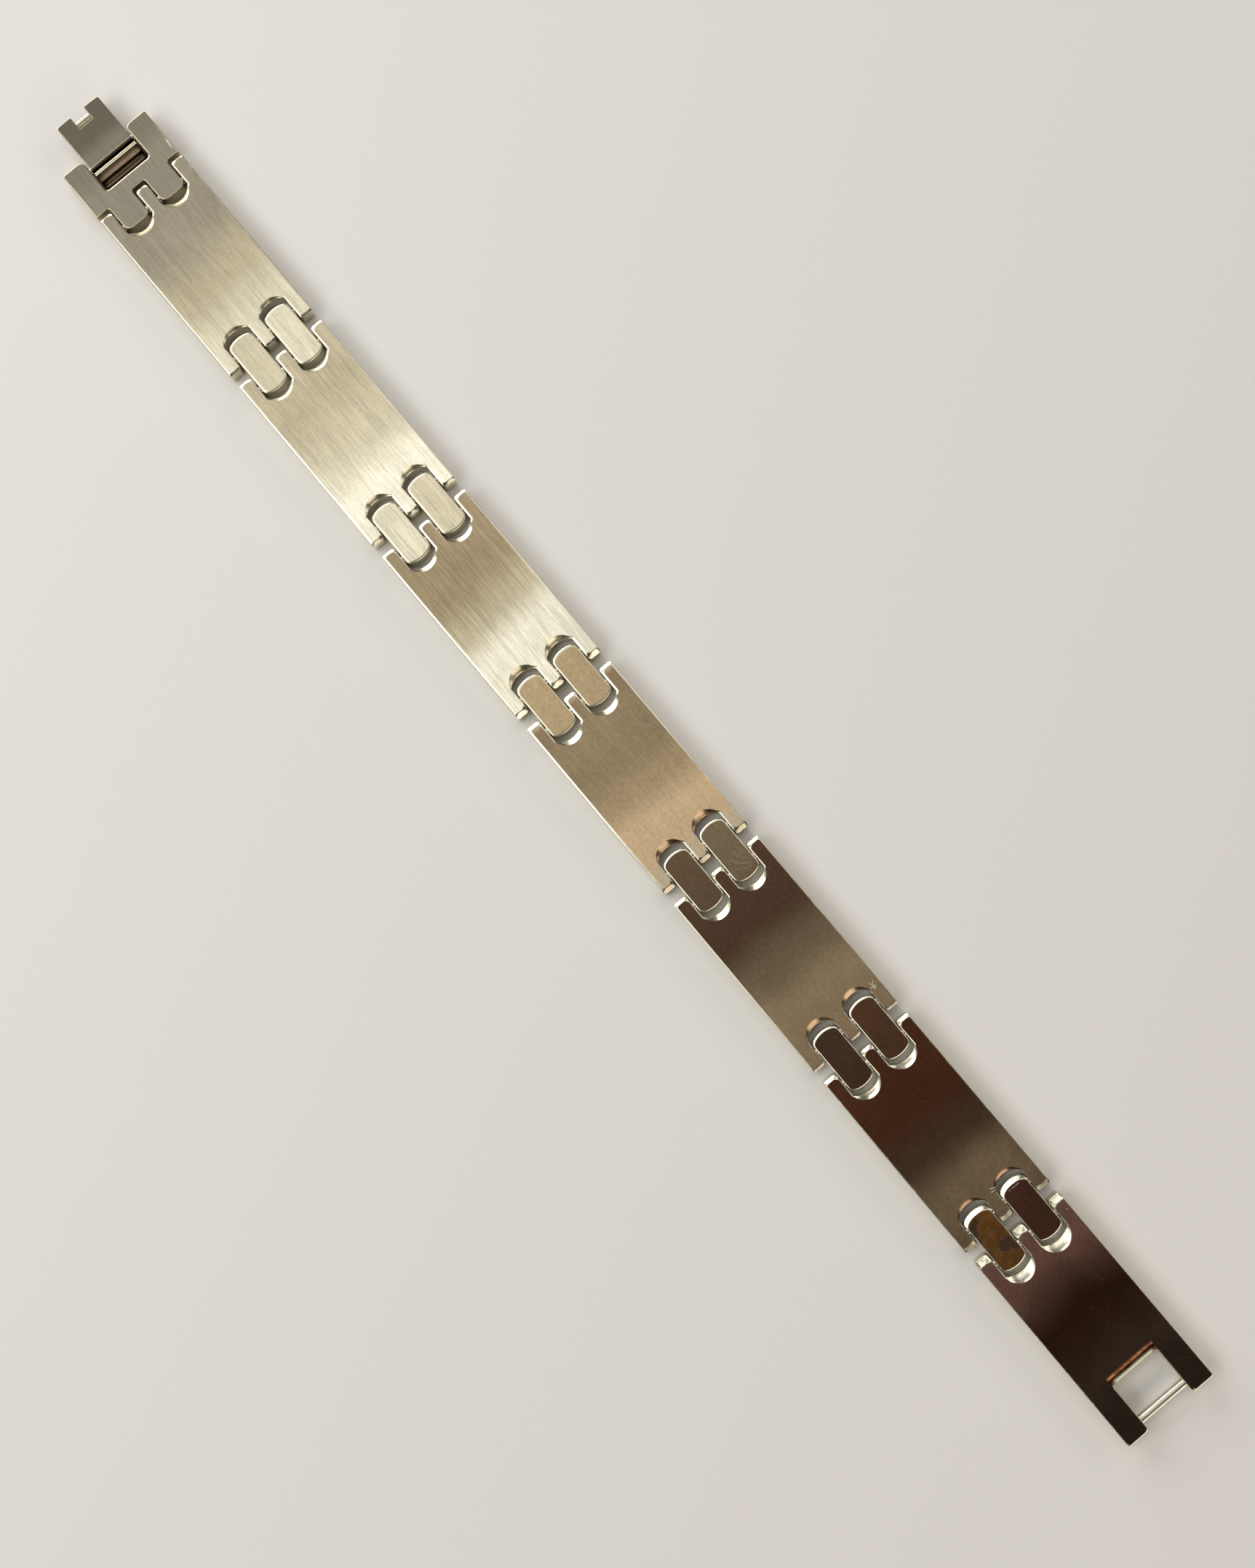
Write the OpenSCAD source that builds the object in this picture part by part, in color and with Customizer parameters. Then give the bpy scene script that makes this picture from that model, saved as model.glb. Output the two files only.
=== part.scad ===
// Link bracelet of hard brushed plates, lying open and straight.
// +X runs from the clasp to the catch, Y across the wrist and +Z up, with the outer face up.
// The origin is under the middle of the open length, on the surface that it lies on.

/* [Band] */
// Width of the band
band_w = 13; // [12.8:0.1:13.6]
// Thickness of the plates
plate_t = 2.4; // [2.3:0.05:2.6]
// Distance between the middles of neighbouring pairs of connectors
pitch = 27.5; // [26:0.5:30]
// Prong tips of the clasp link to the middle of the first pair
first_reach = 33.7; // [32:0.1:36]
// Middle of the last pair to the ends of the catch rails
last_reach = 28.2; // [27:0.1:30]

/* [Plate ends] */
// Gap between the finger tips of two neighbouring plates
finger_gap = 1.55; // [1.4:0.05:1.7]
// Width of each outer finger
outer_finger_w = 1.75; // [1.7:0.05:1.8]
// Width of the middle finger
middle_finger_w = 1.7; // [1.6:0.05:1.8]
// Straight part of a slot's side, from the finger tip
slot_straight = 3.4; // [3.3:0.05:3.5]
// Depth of a slot at the middle of its end wall
slot_depth = 4.2; // [4.1:0.05:4.3]
// Corner radius of a finger tip beside a slot
finger_inner_r = 0.45; // [0.3:0.05:0.5]
// Corner radius of a finger tip at the band's edge
finger_outer_r = 0.3; // [0.2:0.05:0.4]

/* [Connectors and pins] */
// Length of a connector
connector_len = 8.15; // [8:0.05:8.2]
// Gap between a connector and the finger beside it
side_gap = 0.15; // [0.1:0.01:0.2]
// Distance between the two pins of a connector
pin_spacing = 4.9; // [4.7:0.1:5]
// Diameter of the pins
pin_d = 1; // [0.9:0.05:1.1]
// Radial clearance of every pin in its bore
pin_clearance = 0.03; // [0.02:0.01:0.04]

/* [Clasp link] */
// Depth of the notch between the prongs
notch_depth = 4.95; // [4.9:0.05:5.1]
// Width of the notch between the prongs
notch_w = 6.8; // [6.7:0.05:6.9]
// Prong tips to the shoulders beside the first plate's outer fingers
shoulder_x = 6.77; // [6.6:0.05:6.8]
// Prong tips to the first plate's finger tips
first_tip_x = 7.3; // [7.25:0.05:7.35]
// Prong tips to the ends of the two lugs
lug_end_x = 10.6; // [10.5:0.05:10.7]
// Prong tips to the pin through the lugs
lug_pin_x = 9.5; // [9.4:0.05:9.6]

/* [Clasp lever] */
// Length of the lever that stands out past the prong tips
lever_reach = 5.2; // [5:0.05:5.3]
// Width of the lever
lever_w = 6.5; // [6.4:0.05:6.6]
// Prong tips to the lever's hinge axis
lever_hinge_x = 1.3; // [1.25:0.05:1.35]
// Width of the notch in the lever's tip
tip_notch_w = 2.1; // [2:0.05:2.2]
// Depth of the notch in the lever's tip
tip_notch_depth = 1.9; // [1.8:0.05:2]
// Diameter of the snap pin in the lever's tip notch
snap_pin_d = 0.9; // [0.8:0.05:0.95]

/* [End plate] */
// Length of the window up to the rail ends
window_len = 6.5; // [6.3:0.1:6.6]
// Width of the window between the rails
window_w = 6.8; // [6.7:0.05:6.9]
// Diameter of the catch bar
bar_d = 1.15; // [1.1:0.05:1.2]
// Rail ends to the axis of the catch bar
bar_inset = 1.15; // [1.1:0.05:1.2]

/* [Hidden] */
// One row for each plate from the clasp on, the end plate last, in mm.
// Columns: reach of the scoops at the clasp side and at the catch side, measured from the
// finger tips, then width of the finger-tip facets at the clasp side and at the catch side.
PLATES = [
    [5.40, 4.30, 0.25, 0.20],
    [5.10, 4.50, 0.35, 0.35],
    [5.10, 4.95, 0.45, 0.45],
    [5.00, 5.00, 0.50, 0.60],
    [4.90, 4.80, 0.50, 0.20],
    [4.85, 4.70, 0.45, 0.60],
    [5.20, 0, 0.90, 0]
];
SCOOP_IN = 0;
SCOOP_OUT = 1;
FACET_IN = 2;
FACET_OUT = 3;

// Each plate but the last has a pair of connectors after it
pairs = len(PLATES) - 1;
total_len = lever_reach + first_reach + pitch * (pairs - 1) + last_reach;
prong_x = lever_reach - total_len / 2;
mid_z = plate_t / 2;
slot_w = (band_w - 2 * outer_finger_w - middle_finger_w) / 2;
slot_y = (middle_finger_w + slot_w) / 2;
connector_w = slot_w - 2 * side_gap;
pin_hole_r = pin_d / 2 + pin_clearance;
// A pin is a hair shorter than the band, so its ends lie just inside the side faces
pin_len = band_w - 0.1;
over = 1;
corner_steps = 6;
end_steps = 14;

// A scoop is cut by a ball whose centre lies above the top face
scoop_r = slot_w / 2 - 0.05;
scoop_lift = 1.2;
scoop_ball_r = sqrt(scoop_r * scoop_r + scoop_lift * scoop_lift);
facet_angle = 35;

// A slot's end wall is an arc through both ends of its straight sides
wall_rise = slot_depth - slot_straight;
wall_r = (slot_w * slot_w / 4 + wall_rise * wall_rise) / (2 * wall_rise);
wall_half_angle = asin(slot_w / 2 / wall_r);

// A connector has gently curved ends and rounder corners
connector_end_r = 3.4;
connector_corner_r = 0.75;
connector_facet = 0.4;
connector_facet_angle = 38;

// Rounded corners of the clasp link, the lever and the end plate
notch_corner_r = 0.45;
prong_inner_r = 0.8;
prong_outer_r = 0.35;
lug_corner_r = 0.6;
lug_root_r = 0.35;
lug_slot_w = middle_finger_w + 2 * side_gap + 0.07;
lug_slot_x = 6.8;
lever_corner_r = 0.3;
rail_inner_r = 0.5;
rail_outer_r = 0.3;

// The lever is the upper half of the band's thickness, so that it folds into the lower half
fold_gap = 0.07;
lever_under_z = mid_z + fold_gap;
barrel_r = 0.85;
// A channel under the clasp link takes the folded lever
channel_w = lever_w + 0.3;
channel_roof_z = mid_z + 0.03;
channel_end_x = 2 * lever_hinge_x + lever_reach + 0.2;
snap_pin_x = -lever_reach + 1.1;
snap_pin_z = lever_under_z + snap_pin_d / 2 + 0.05;
// The scoop along the far wall of the end plate's window, cut by a round tool held above it
window_scoop = 0.95;
window_scoop_r = 1.5;
window_scoop_lift = 1;
window_scoop_half = sqrt(window_scoop_r * window_scoop_r - window_scoop_lift * window_scoop_lift);

PAIRS = [for (i = [1:pairs]) i];

// Points of an arc round a centre, from one angle to another
function arc(centre, r, from, to, steps) =
    [for (i = [0:steps])
        let (a = from + (to - from) * i / steps)
            centre + r * [cos(a), sin(a)]];

function mirrored_x(points) = [for (i = [len(points) - 1:-1:0]) [-points[i][0], points[i][1]]];

function mirrored_y(points) = [for (i = [len(points) - 1:-1:0]) [points[i][0], -points[i][1]]];

function moved(points, dx) = [for (p = points) [p[0] + dx, p[1]]];

// Middle of a pair of connectors, measured along X
function pair_x(i) = prong_x + first_reach + (i - 1) * pitch;

// Outline of a plate's end from its lower edge to the middle of the middle finger.
// The finger tips lie at x = 0 and the plate runs towards -X.
function half_end() = concat(
    arc([-finger_outer_r, finger_outer_r - band_w / 2], finger_outer_r, -90, 0, corner_steps),
    arc([-finger_inner_r, -slot_y - slot_w / 2 - finger_inner_r], finger_inner_r, 0, 90, corner_steps),
    arc([wall_r - slot_depth, -slot_y], wall_r, 180 + wall_half_angle, 180 - wall_half_angle, end_steps),
    arc([-finger_inner_r, finger_inner_r - middle_finger_w / 2], finger_inner_r, -90, 0, corner_steps)
);

function slotted_end() = concat(half_end(), mirrored_y(half_end()));

// Outline of the catch side of the end plate: two rails with a window between them
function rail_end() = concat(
    arc([-rail_outer_r, rail_outer_r - band_w / 2], rail_outer_r, -90, 0, corner_steps),
    arc([-rail_inner_r, -window_w / 2 - rail_inner_r], rail_inner_r, 0, 90, corner_steps),
    [[-window_len, -window_w / 2], [-window_len, window_w / 2]],
    arc([-rail_inner_r, window_w / 2 + rail_inner_r], rail_inner_r, -90, 0, corner_steps),
    arc([-rail_outer_r, band_w / 2 - rail_outer_r], rail_outer_r, 0, 90, corner_steps)
);

function plate_start(i) =
    i == 1 ? prong_x + first_tip_x : pair_x(i - 1) + finger_gap / 2;

function plate_stop(i) =
    i > pairs ? pair_x(pairs) + last_reach : pair_x(i) - finger_gap / 2;

// A round bar or bore across the band, at a place along X and a height
module cross_bar(x, z, r, length) {
    translate([x, 0, z])
        rotate([90, 0, 0])
            cylinder(r = r, h = length, center = true, $fn = 48);
}

module pin_bore(x) {
    cross_bar(x, mid_z, pin_hole_r, band_w + 2 * over);
}

// The two scoops at the slot ends of one plate end; toward is 1 where the slots run towards +X
module scoops(tip_x, reach, toward) {
    for (side = [-1, 1])
        translate([tip_x + toward * (reach - scoop_r), side * slot_y, plate_t + scoop_lift])
            sphere(r = scoop_ball_r, $fn = 64);
}

// A sloped facet across the finger tips; toward is 1 where the plate runs towards +X
module tip_facet(tip_x, facet, toward, angle, width) {
    translate([tip_x + toward * facet, 0, plate_t])
        rotate([0, -toward * angle, 0])
            translate([-toward * 2, 0, 1])
                cube([4, width + 2 * over, 2], center = true);
}

module slotted_plate(i, end_points) {
    start = plate_start(i);
    stop = plate_stop(i);
    sizes = PLATES[i - 1];
    difference() {
        linear_extrude(height = plate_t)
            polygon(concat(moved(end_points, stop), moved(mirrored_x(slotted_end()), start)));
        scoops(start, sizes[SCOOP_IN], 1);
        tip_facet(start, sizes[FACET_IN], 1, facet_angle, band_w);
        if (i == 1) pin_bore(prong_x + lug_pin_x);
        else pin_bore(pair_x(i - 1) + pin_spacing / 2);
        if (sizes[SCOOP_OUT] > 0) {
            scoops(stop, sizes[SCOOP_OUT], -1);
            tip_facet(stop, sizes[FACET_OUT], -1, facet_angle, band_w);
            pin_bore(pair_x(i) - pin_spacing / 2);
        }
    }
}

module link_plate(i) {
    color("wheat")
        slotted_plate(i, slotted_end());
}

// The last plate: a scooped far wall in its window, and bores for the catch bar in its rails
module end_plate() {
    stop = plate_stop(pairs + 1);
    wall_x = stop - window_len;
    color("rosybrown")
        difference() {
            slotted_plate(pairs + 1, rail_end());
            cross_bar(stop - bar_inset, mid_z, bar_d / 2 + pin_clearance, band_w + 2 * over);
            cross_bar(
                wall_x - window_scoop + window_scoop_half, plate_t + window_scoop_lift,
                window_scoop_r, window_w + 0.3
            );
        }
}

module catch_bar() {
    color("gainsboro")
        cross_bar(plate_stop(pairs + 1) - bar_inset, mid_z, bar_d / 2, pin_len);
}

// Outline of a connector's +X end from its lower edge to its upper edge, about its own middle
function connector_end() =
    let (
        end_x = connector_len / 2 - connector_end_r,
        inner = connector_end_r - connector_corner_r,
        corner_y = connector_w / 2 - connector_corner_r,
        corner_x = end_x + sqrt(inner * inner - corner_y * corner_y),
        turn = asin(corner_y / inner)
    )
    concat(
        arc([corner_x, -corner_y], connector_corner_r, -90, -turn, corner_steps),
        arc([end_x, 0], connector_end_r, -turn, turn, corner_steps),
        arc([corner_x, corner_y], connector_corner_r, turn, 90, corner_steps)
    );

module connector(i, side) {
    x = pair_x(i);
    color("tan")
        difference() {
            translate([x, side * slot_y, 0])
                linear_extrude(height = plate_t)
                    polygon(concat(connector_end(), mirrored_x(connector_end())));
            pin_bore(x - pin_spacing / 2);
            pin_bore(x + pin_spacing / 2);
            for (toward = [-1, 1])
                tip_facet(
                    x - toward * connector_len / 2, connector_facet, toward,
                    connector_facet_angle, band_w
                );
        }
}

module link_pin(x) {
    color("silver")
        cross_bar(x, mid_z, pin_d / 2, pin_len);
}

// Lower half of the clasp link's outline, from the middle slot round to the notch.
// The prong tips lie at x = 0 and the lugs point towards +X.
function clasp_half() =
    let (
        lug_in = -lug_slot_w / 2,
        lug_out = -slot_y - connector_w / 2
    )
    concat(
        arc([notch_depth - notch_corner_r, notch_corner_r - notch_w / 2], notch_corner_r, 0, -90, corner_steps),
        arc([prong_inner_r, -notch_w / 2 - prong_inner_r], prong_inner_r, 90, 180, corner_steps),
        arc([prong_outer_r, prong_outer_r - band_w / 2], prong_outer_r, 180, 270, corner_steps),
        [[shoulder_x, -band_w / 2]],
        arc([shoulder_x + lug_root_r, lug_out - lug_root_r], lug_root_r, 180, 90, corner_steps),
        arc([lug_end_x - lug_corner_r, lug_out + lug_corner_r], lug_corner_r, -90, 0, corner_steps),
        arc([lug_end_x - lug_corner_r, lug_in - lug_corner_r], lug_corner_r, 0, 90, corner_steps),
        arc([lug_slot_x + lug_root_r, lug_in + lug_root_r], lug_root_r, -90, -180, corner_steps)
    );

module clasp_link() {
    color("ivory")
        difference() {
            translate([prong_x, 0, 0])
                linear_extrude(height = plate_t)
                    polygon(concat(clasp_half(), mirrored_y(clasp_half())));
            translate([prong_x + notch_depth - over, -channel_w / 2, -over])
                cube([channel_end_x - notch_depth + over, channel_w, channel_roof_z + over]);
            pin_bore(prong_x + lug_pin_x);
            pin_bore(prong_x + lever_hinge_x);
        }
}

// Side profile of the lever, looking along Y: the tongue, the groove and ridge beside its
// base, the seat that takes the catch bar, and the hinge barrel under the base.
SEAT_X = 2 * lever_hinge_x + 0.1 + bar_inset;
SEAT_R = bar_d / 2 + 0.06;
function lever_profile() = concat(
    [[-lever_reach, lever_under_z], [-lever_reach, plate_t]],
    arc([1.42, plate_t - 0.35], 0.35, 90, 10, corner_steps),
    [[1.86, 1.62], [2.02, 1.62]],
    arc([2.33, 1.85], 0.27, 190, 20, end_steps),
    arc([SEAT_X, mid_z], SEAT_R, 160, 360, end_steps),
    arc([4.66, 1.42], 0.16, 150, 0, corner_steps),
    [[4.8, 0.9], [4.6, 0.3], [4.45, 0.2], [2.6, 0.2]],
    arc([lever_hinge_x, mid_z], barrel_r, -60, -175, end_steps)
);

module clasp_lever() {
    color("linen")
        translate([prong_x, 0, 0])
            difference() {
                rotate([90, 0, 0])
                    linear_extrude(height = lever_w, center = true)
                        polygon(lever_profile());
                translate([0, 0, mid_z])
                    rotate([90, 0, 0])
                        translate([lever_hinge_x, 0, 0])
                            cylinder(r = pin_hole_r, h = lever_w + 2 * over, center = true, $fn = 48);
                translate([-lever_reach - over, -tip_notch_w / 2, 0])
                    cube([tip_notch_depth + over, tip_notch_w, plate_t + over]);
                translate([snap_pin_x, 0, snap_pin_z])
                    rotate([90, 0, 0])
                        cylinder(r = snap_pin_d / 2 + 0.02, h = lever_w - 1, center = true, $fn = 48);
                for (side = [-1, 1])
                    translate([-lever_reach, side * lever_w / 2, 0])
                        corner_cut(side, lever_corner_r);
            }
}

// Takes a square corner of the lever's tip down to a quarter round
module corner_cut(side, r) {
    difference() {
        translate([-over, side > 0 ? -r : -over, -over])
            cube([r + over, r + over, plate_t + 2 * over]);
        translate([r, -side * r, -2 * over])
            cylinder(r = r, h = plate_t + 4 * over, $fn = 32);
    }
}

module lever_hinge_pin() {
    color("silver")
        cross_bar(prong_x + lever_hinge_x, mid_z, pin_d / 2, pin_len);
}

module lever_snap_pin() {
    color("silver")
        cross_bar(prong_x + snap_pin_x, snap_pin_z, snap_pin_d / 2, lever_w - 1.1);
}

clasp_link();
clasp_lever();
lever_hinge_pin();
lever_snap_pin();
link_pin(prong_x + lug_pin_x);  // link_pin_0
for (i = PAIRS)
    link_plate(i);
end_plate();
catch_bar();
for (i = PAIRS) {
    connector(i, 1);
    connector(i, -1);
    link_pin(pair_x(i) - pin_spacing / 2);
    link_pin(pair_x(i) + pin_spacing / 2);
}
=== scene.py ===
# %% [markdown]
# # A link bracelet of brushed plates, lying open
#
# The bracelet is a row of hard brushed plates, joined by pairs of pill-shaped connectors on cross
# pins. It has a fold-under clasp lever at its -X end and a window with a catch bar at its +X end.
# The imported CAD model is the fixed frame: it says where every piece is and what moves. This lesson
# gives each piece the soft edges, polished facets and brushed faces that the eye reads as metal.

# %% Load the frame
import math
from collections import namedtuple

import bpy
import numpy as np
from mathutils import Matrix, Vector


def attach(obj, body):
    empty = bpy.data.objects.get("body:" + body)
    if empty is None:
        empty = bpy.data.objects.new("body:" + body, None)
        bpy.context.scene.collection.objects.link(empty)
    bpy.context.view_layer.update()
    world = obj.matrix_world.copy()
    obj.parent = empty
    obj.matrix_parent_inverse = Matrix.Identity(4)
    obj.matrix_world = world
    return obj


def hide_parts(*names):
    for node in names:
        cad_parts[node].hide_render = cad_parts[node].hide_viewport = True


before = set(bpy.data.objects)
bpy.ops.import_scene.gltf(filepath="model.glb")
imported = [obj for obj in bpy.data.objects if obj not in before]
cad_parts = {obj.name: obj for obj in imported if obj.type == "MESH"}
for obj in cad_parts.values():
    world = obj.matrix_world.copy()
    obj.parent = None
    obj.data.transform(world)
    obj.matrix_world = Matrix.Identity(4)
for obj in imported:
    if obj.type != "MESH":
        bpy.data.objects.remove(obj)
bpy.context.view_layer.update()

# %% [markdown]
# ## Sizes
#
# The sizes repeat those of the CAD source, in millimetres, because a maker's drawing would too.
# Only edges, facets, scoops and the trough are drawn softer here than in the CAD.
# PRONG_X is where the tips of the clasp link's prongs lie. Names that end in REACH are lengths
# along the band from there, and only LAST_REACH runs from the last pair of connectors to the end.
# One number, MM, turns millimetres into Blender's metres when a mesh is made.

# %% Sizes in millimetres
MM = 0.001
BAND_W = 13.0
THICK = 2.4
MID_Z = THICK / 2
PITCH = 27.5
FIRST_REACH = 33.7
LAST_REACH = 28.2
LEVER_REACH = 5.2
PAIRS = 6
TOTAL = LEVER_REACH + FIRST_REACH + PITCH * (PAIRS - 1) + LAST_REACH
PRONG_X = LEVER_REACH - TOTAL / 2
FINGER_GAP = 1.55
OUTER_FINGER = 1.75
MIDDLE_FINGER = 1.7
SLOT_W = (BAND_W - 2 * OUTER_FINGER - MIDDLE_FINGER) / 2
SLOT_Y = (MIDDLE_FINGER + SLOT_W) / 2
PIN_R = 0.5
BORE_R = 0.53
PIN_SPACING = 4.9
PIN_LEN = 12.9
HINGE_REACH = 1.3
PLATE_REACH = 7.3
LUG_PIN_REACH = 9.5
BAR_R = 0.575
BAR_BORE_R = 0.605
BAR_INSET = 1.15
PAIR_X = [PRONG_X + FIRST_REACH + i * PITCH for i in range(PAIRS)]
print("open length", round(TOTAL, 2), "mm; pairs of connectors at", [round(x, 2) for x in PAIR_X])

# %% [markdown]
# ## Camera
#
# The photo looks down on the bracelet from nearly overhead, with the band running from the upper
# left to the lower right. A camera is easiest to place by the point it stands at, the direction
# it looks in and the way the picture's right-hand side points in the scene. The three vectors
# were found by fitting a pinhole camera to the places of the fingers and connectors.

# %% Camera
camera_data = bpy.data.cameras.new("camera")
camera_data.sensor_width = 36
camera_data.lens = 43.4
camera_data.clip_start = 0.005
camera_data.clip_end = 10
camera = bpy.data.objects.new("camera", camera_data)
bpy.context.scene.collection.objects.link(camera)
CAMERA_AT = Vector((19.5, -7.1, 228.6)) * MM
back = -Vector((-0.0630, 0.0251, -0.9977)).normalized()
right = Vector((0.6428, 0.7657, -0.0213))
right = (right - right.dot(back) * back).normalized()
up = back.cross(right)
camera.matrix_world = Matrix.Translation(CAMERA_AT) @ Matrix((right, up, back)).transposed().to_4x4()
bpy.context.scene.camera = camera
print("camera height", round(CAMERA_AT.z * 1000), "mm, lens", round(camera_data.lens, 1), "mm")

# %% [markdown]
# ## Floor and light
#
# Polished and brushed metal shows its surroundings more than itself. A broad low lamp on the
# clasp side lights every facet and hollow that faces it, and a lamp overhead makes the plates
# near the clasp pale. Strips along both sides draw a thin bright line on the long edges. The
# catch side is dim and warm, so what faces it goes tan. The floor is one plain pale sheet.

# %% Floor, lamps and surroundings
def place_lamp(name, at, target, size, power, colour):
    """Adds one soft rectangular lamp at a point, turned to a target, both in millimetres."""
    data = bpy.data.lights.new(name, "AREA")
    data.shape = "RECTANGLE"
    data.size, data.size_y = size[0] * MM, size[1] * MM
    data.energy = power
    data.color = colour
    lamp = bpy.data.objects.new(name, data)
    bpy.context.scene.collection.objects.link(lamp)
    lamp.location = Vector(at) * MM
    aim = (Vector(target) - Vector(at)) * MM
    lamp.rotation_euler = aim.to_track_quat("-Z", "Y").to_euler()
    return lamp


place_lamp("low_clasp_side_lamp", (-640, -60, 225), (0, 0, 0), (640, 400), 3.2, (1.0, 0.98, 0.94))
place_lamp("overhead_lamp", (-205, 0, 620), (-205, 0, 0), (390, 900), 1.4, (1.0, 0.98, 0.94))
place_lamp("front_lamp", (-120, -400, 420), (0, 0, 0), (620, 260), 1.35, (1.0, 0.98, 0.95))
place_lamp("back_lamp", (80, 480, 240), (0, 0, 0), (520, 180), 0.5, (1.0, 0.96, 0.9))
place_lamp("catch_side_lamp", (560, 60, 230), (0, 0, 0), (460, 300), 1.1, (1.0, 0.90, 0.78))

world = bpy.data.worlds.new("studio")
world.use_nodes = True
world.node_tree.nodes["Background"].inputs["Color"].default_value = (0.62, 0.52, 0.44, 1)
world.node_tree.nodes["Background"].inputs["Strength"].default_value = 0.1
bpy.context.scene.world = world
bpy.context.scene.view_settings.view_transform = "Standard"

floor_mesh = bpy.data.meshes.new("floor")
half = 3.0
floor_mesh.from_pydata([(-half, -half, 0), (half, -half, 0), (half, half, 0), (-half, half, 0)],
                       [], [(0, 1, 2, 3)])
floor = bpy.data.objects.new("floor", floor_mesh)
floor.location.z = -0.02 * MM
bpy.context.scene.collection.objects.link(floor)
floor_paint = bpy.data.materials.new("pale_floor")
floor_paint.use_nodes = True
paint = floor_paint.node_tree.nodes["Principled BSDF"]
paint.inputs["Base Color"].default_value = (0.80, 0.79, 0.77, 1)
paint.inputs["Roughness"].default_value = 0.75
floor_mesh.materials.append(floor_paint)
print("lamps:", len(bpy.data.lights))

# %% [markdown]
# ## Small node helpers
#
# A procedural finish is a network of small steps. These helpers add one node and connect its
# inputs in one call, so that each finish below reads as a short list of steps.

# %% Node helpers
def add(tree, kind, inputs=None, **settings):
    """Adds one shader node. Inputs are values or sockets of other nodes, by name or number."""
    node = tree.nodes.new(kind)
    for key, value in settings.items():
        setattr(node, key, value)
    for key, value in (inputs or {}).items():
        if isinstance(value, bpy.types.NodeSocket):
            tree.links.new(value, node.inputs[key])
        else:
            node.inputs[key].default_value = value
    return node


def reckon(tree, operation, a, b=0.0, plus=0.0, clamp=False):
    """One arithmetic step on two values; plus is what MULTIPLY_ADD adds."""
    node = add(tree, "ShaderNodeMath", {0: a, 1: b, 2: plus}, operation=operation)
    node.use_clamp = clamp
    return node.outputs[0]


def spread(tree, value, low, high, to_low=0.0, to_high=1.0):
    """Maps a range of values smoothly to another range."""
    ends = {"Value": value, "From Min": low, "From Max": high, "To Min": to_low, "To Max": to_high}
    return add(tree, "ShaderNodeMapRange", ends, interpolation_type="SMOOTHSTEP").outputs[0]


def blend_colours(tree, amount, a, b, how="MIX"):
    """Mixes two colours by an amount."""
    node = add(tree, "ShaderNodeMix", data_type="RGBA", blend_type=how)
    for place, value in ((0, amount), (6, a), (7, b)):
        if isinstance(value, bpy.types.NodeSocket):
            tree.links.new(value, node.inputs[place])
        else:
            node.inputs[place].default_value = value
    return node.outputs[2]


def stretched_noise(tree, where, stretch, turn=0.0, detail=2.0, rough=0.5):
    """Noise whose cells are pulled out along one direction; stretch is cells per metre."""
    turned = add(tree, "ShaderNodeMapping", {"Vector": where, "Rotation": (0, 0, math.radians(turn))},
                 vector_type="TEXTURE")
    pulled = add(tree, "ShaderNodeVectorMath", {0: turned.outputs[0], 1: stretch}, operation="MULTIPLY")
    noise = add(tree, "ShaderNodeTexNoise", {"Vector": pulled.outputs[0], "Scale": 1.0,
                                             "Detail": detail, "Roughness": rough})
    return noise.outputs["Fac"]


def new_group(name, inputs, outputs):
    """Starts a node group with named inputs (name, kind, value) and outputs (name, kind)."""
    group = bpy.data.node_groups.new(name, "ShaderNodeTree")
    for label, kind, value in inputs:
        socket = group.interface.new_socket(label, in_out="INPUT", socket_type=kind)
        socket.default_value = value
    for label, kind in outputs:
        group.interface.new_socket(label, in_out="OUTPUT", socket_type=kind)
    return group, group.nodes.new("NodeGroupInput"), group.nodes.new("NodeGroupOutput")


NUMBER = "NodeSocketFloat"
COLOUR = "NodeSocketColor"

# %% [markdown]
# ## Brushed lines
#
# The plates are brushed lengthwise by a belt. Each grain leaves a fine line a few millimetres
# long and about a tenth of a millimetre wide, and some cut deeper than others. Noise pulled out
# along X gives such lines, and a slower noise makes them wander a little sideways, because no
# belt runs true. Three widths are added up, and the deepest lines come out once more as cuts.

# %% Group: brushed lines
brushing, source, result = new_group(
    "brushed lines",
    [("Seed", NUMBER, 0.0), ("Fine", NUMBER, 1.0)],
    [("Lines", NUMBER), ("Cuts", NUMBER), ("Height", NUMBER)])
place = add(brushing, "ShaderNodeTexCoord").outputs["Object"]
offset = add(brushing, "ShaderNodeCombineXYZ", {0: source.outputs["Seed"], 1: source.outputs["Seed"]})
place = add(brushing, "ShaderNodeVectorMath", {0: place, 1: offset.outputs[0]}, operation="ADD").outputs[0]
wander = stretched_noise(brushing, place, (90, 300, 300), detail=1)
sideways = add(brushing, "ShaderNodeCombineXYZ", {1: reckon(brushing, "MULTIPLY", wander, 0.0004)})
place = add(brushing, "ShaderNodeVectorMath", {0: place, 1: sideways.outputs[0]}, operation="ADD").outputs[0]
broad = stretched_noise(brushing, place, (60, 1500, 1500), detail=2)
middle = stretched_noise(brushing, place, (190, 9500, 9500), detail=3, rough=0.6)
hair = stretched_noise(brushing, place, (420, 26000, 26000), detail=1)
every = reckon(brushing, "MULTIPLY", reckon(brushing, "MULTIPLY", hair, 0.36), source.outputs["Fine"])
every = reckon(brushing, "MULTIPLY_ADD", middle, 0.46, plus=every)
every = reckon(brushing, "MULTIPLY_ADD", broad, 0.18, plus=every)
brushing.links.new(spread(brushing, every, 0.38, 0.62), result.inputs["Lines"])
brushing.links.new(spread(brushing, middle, 0.62, 0.76), result.inputs["Cuts"])
brushing.links.new(every, result.inputs["Height"])
print("group:", brushing.name)

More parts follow.
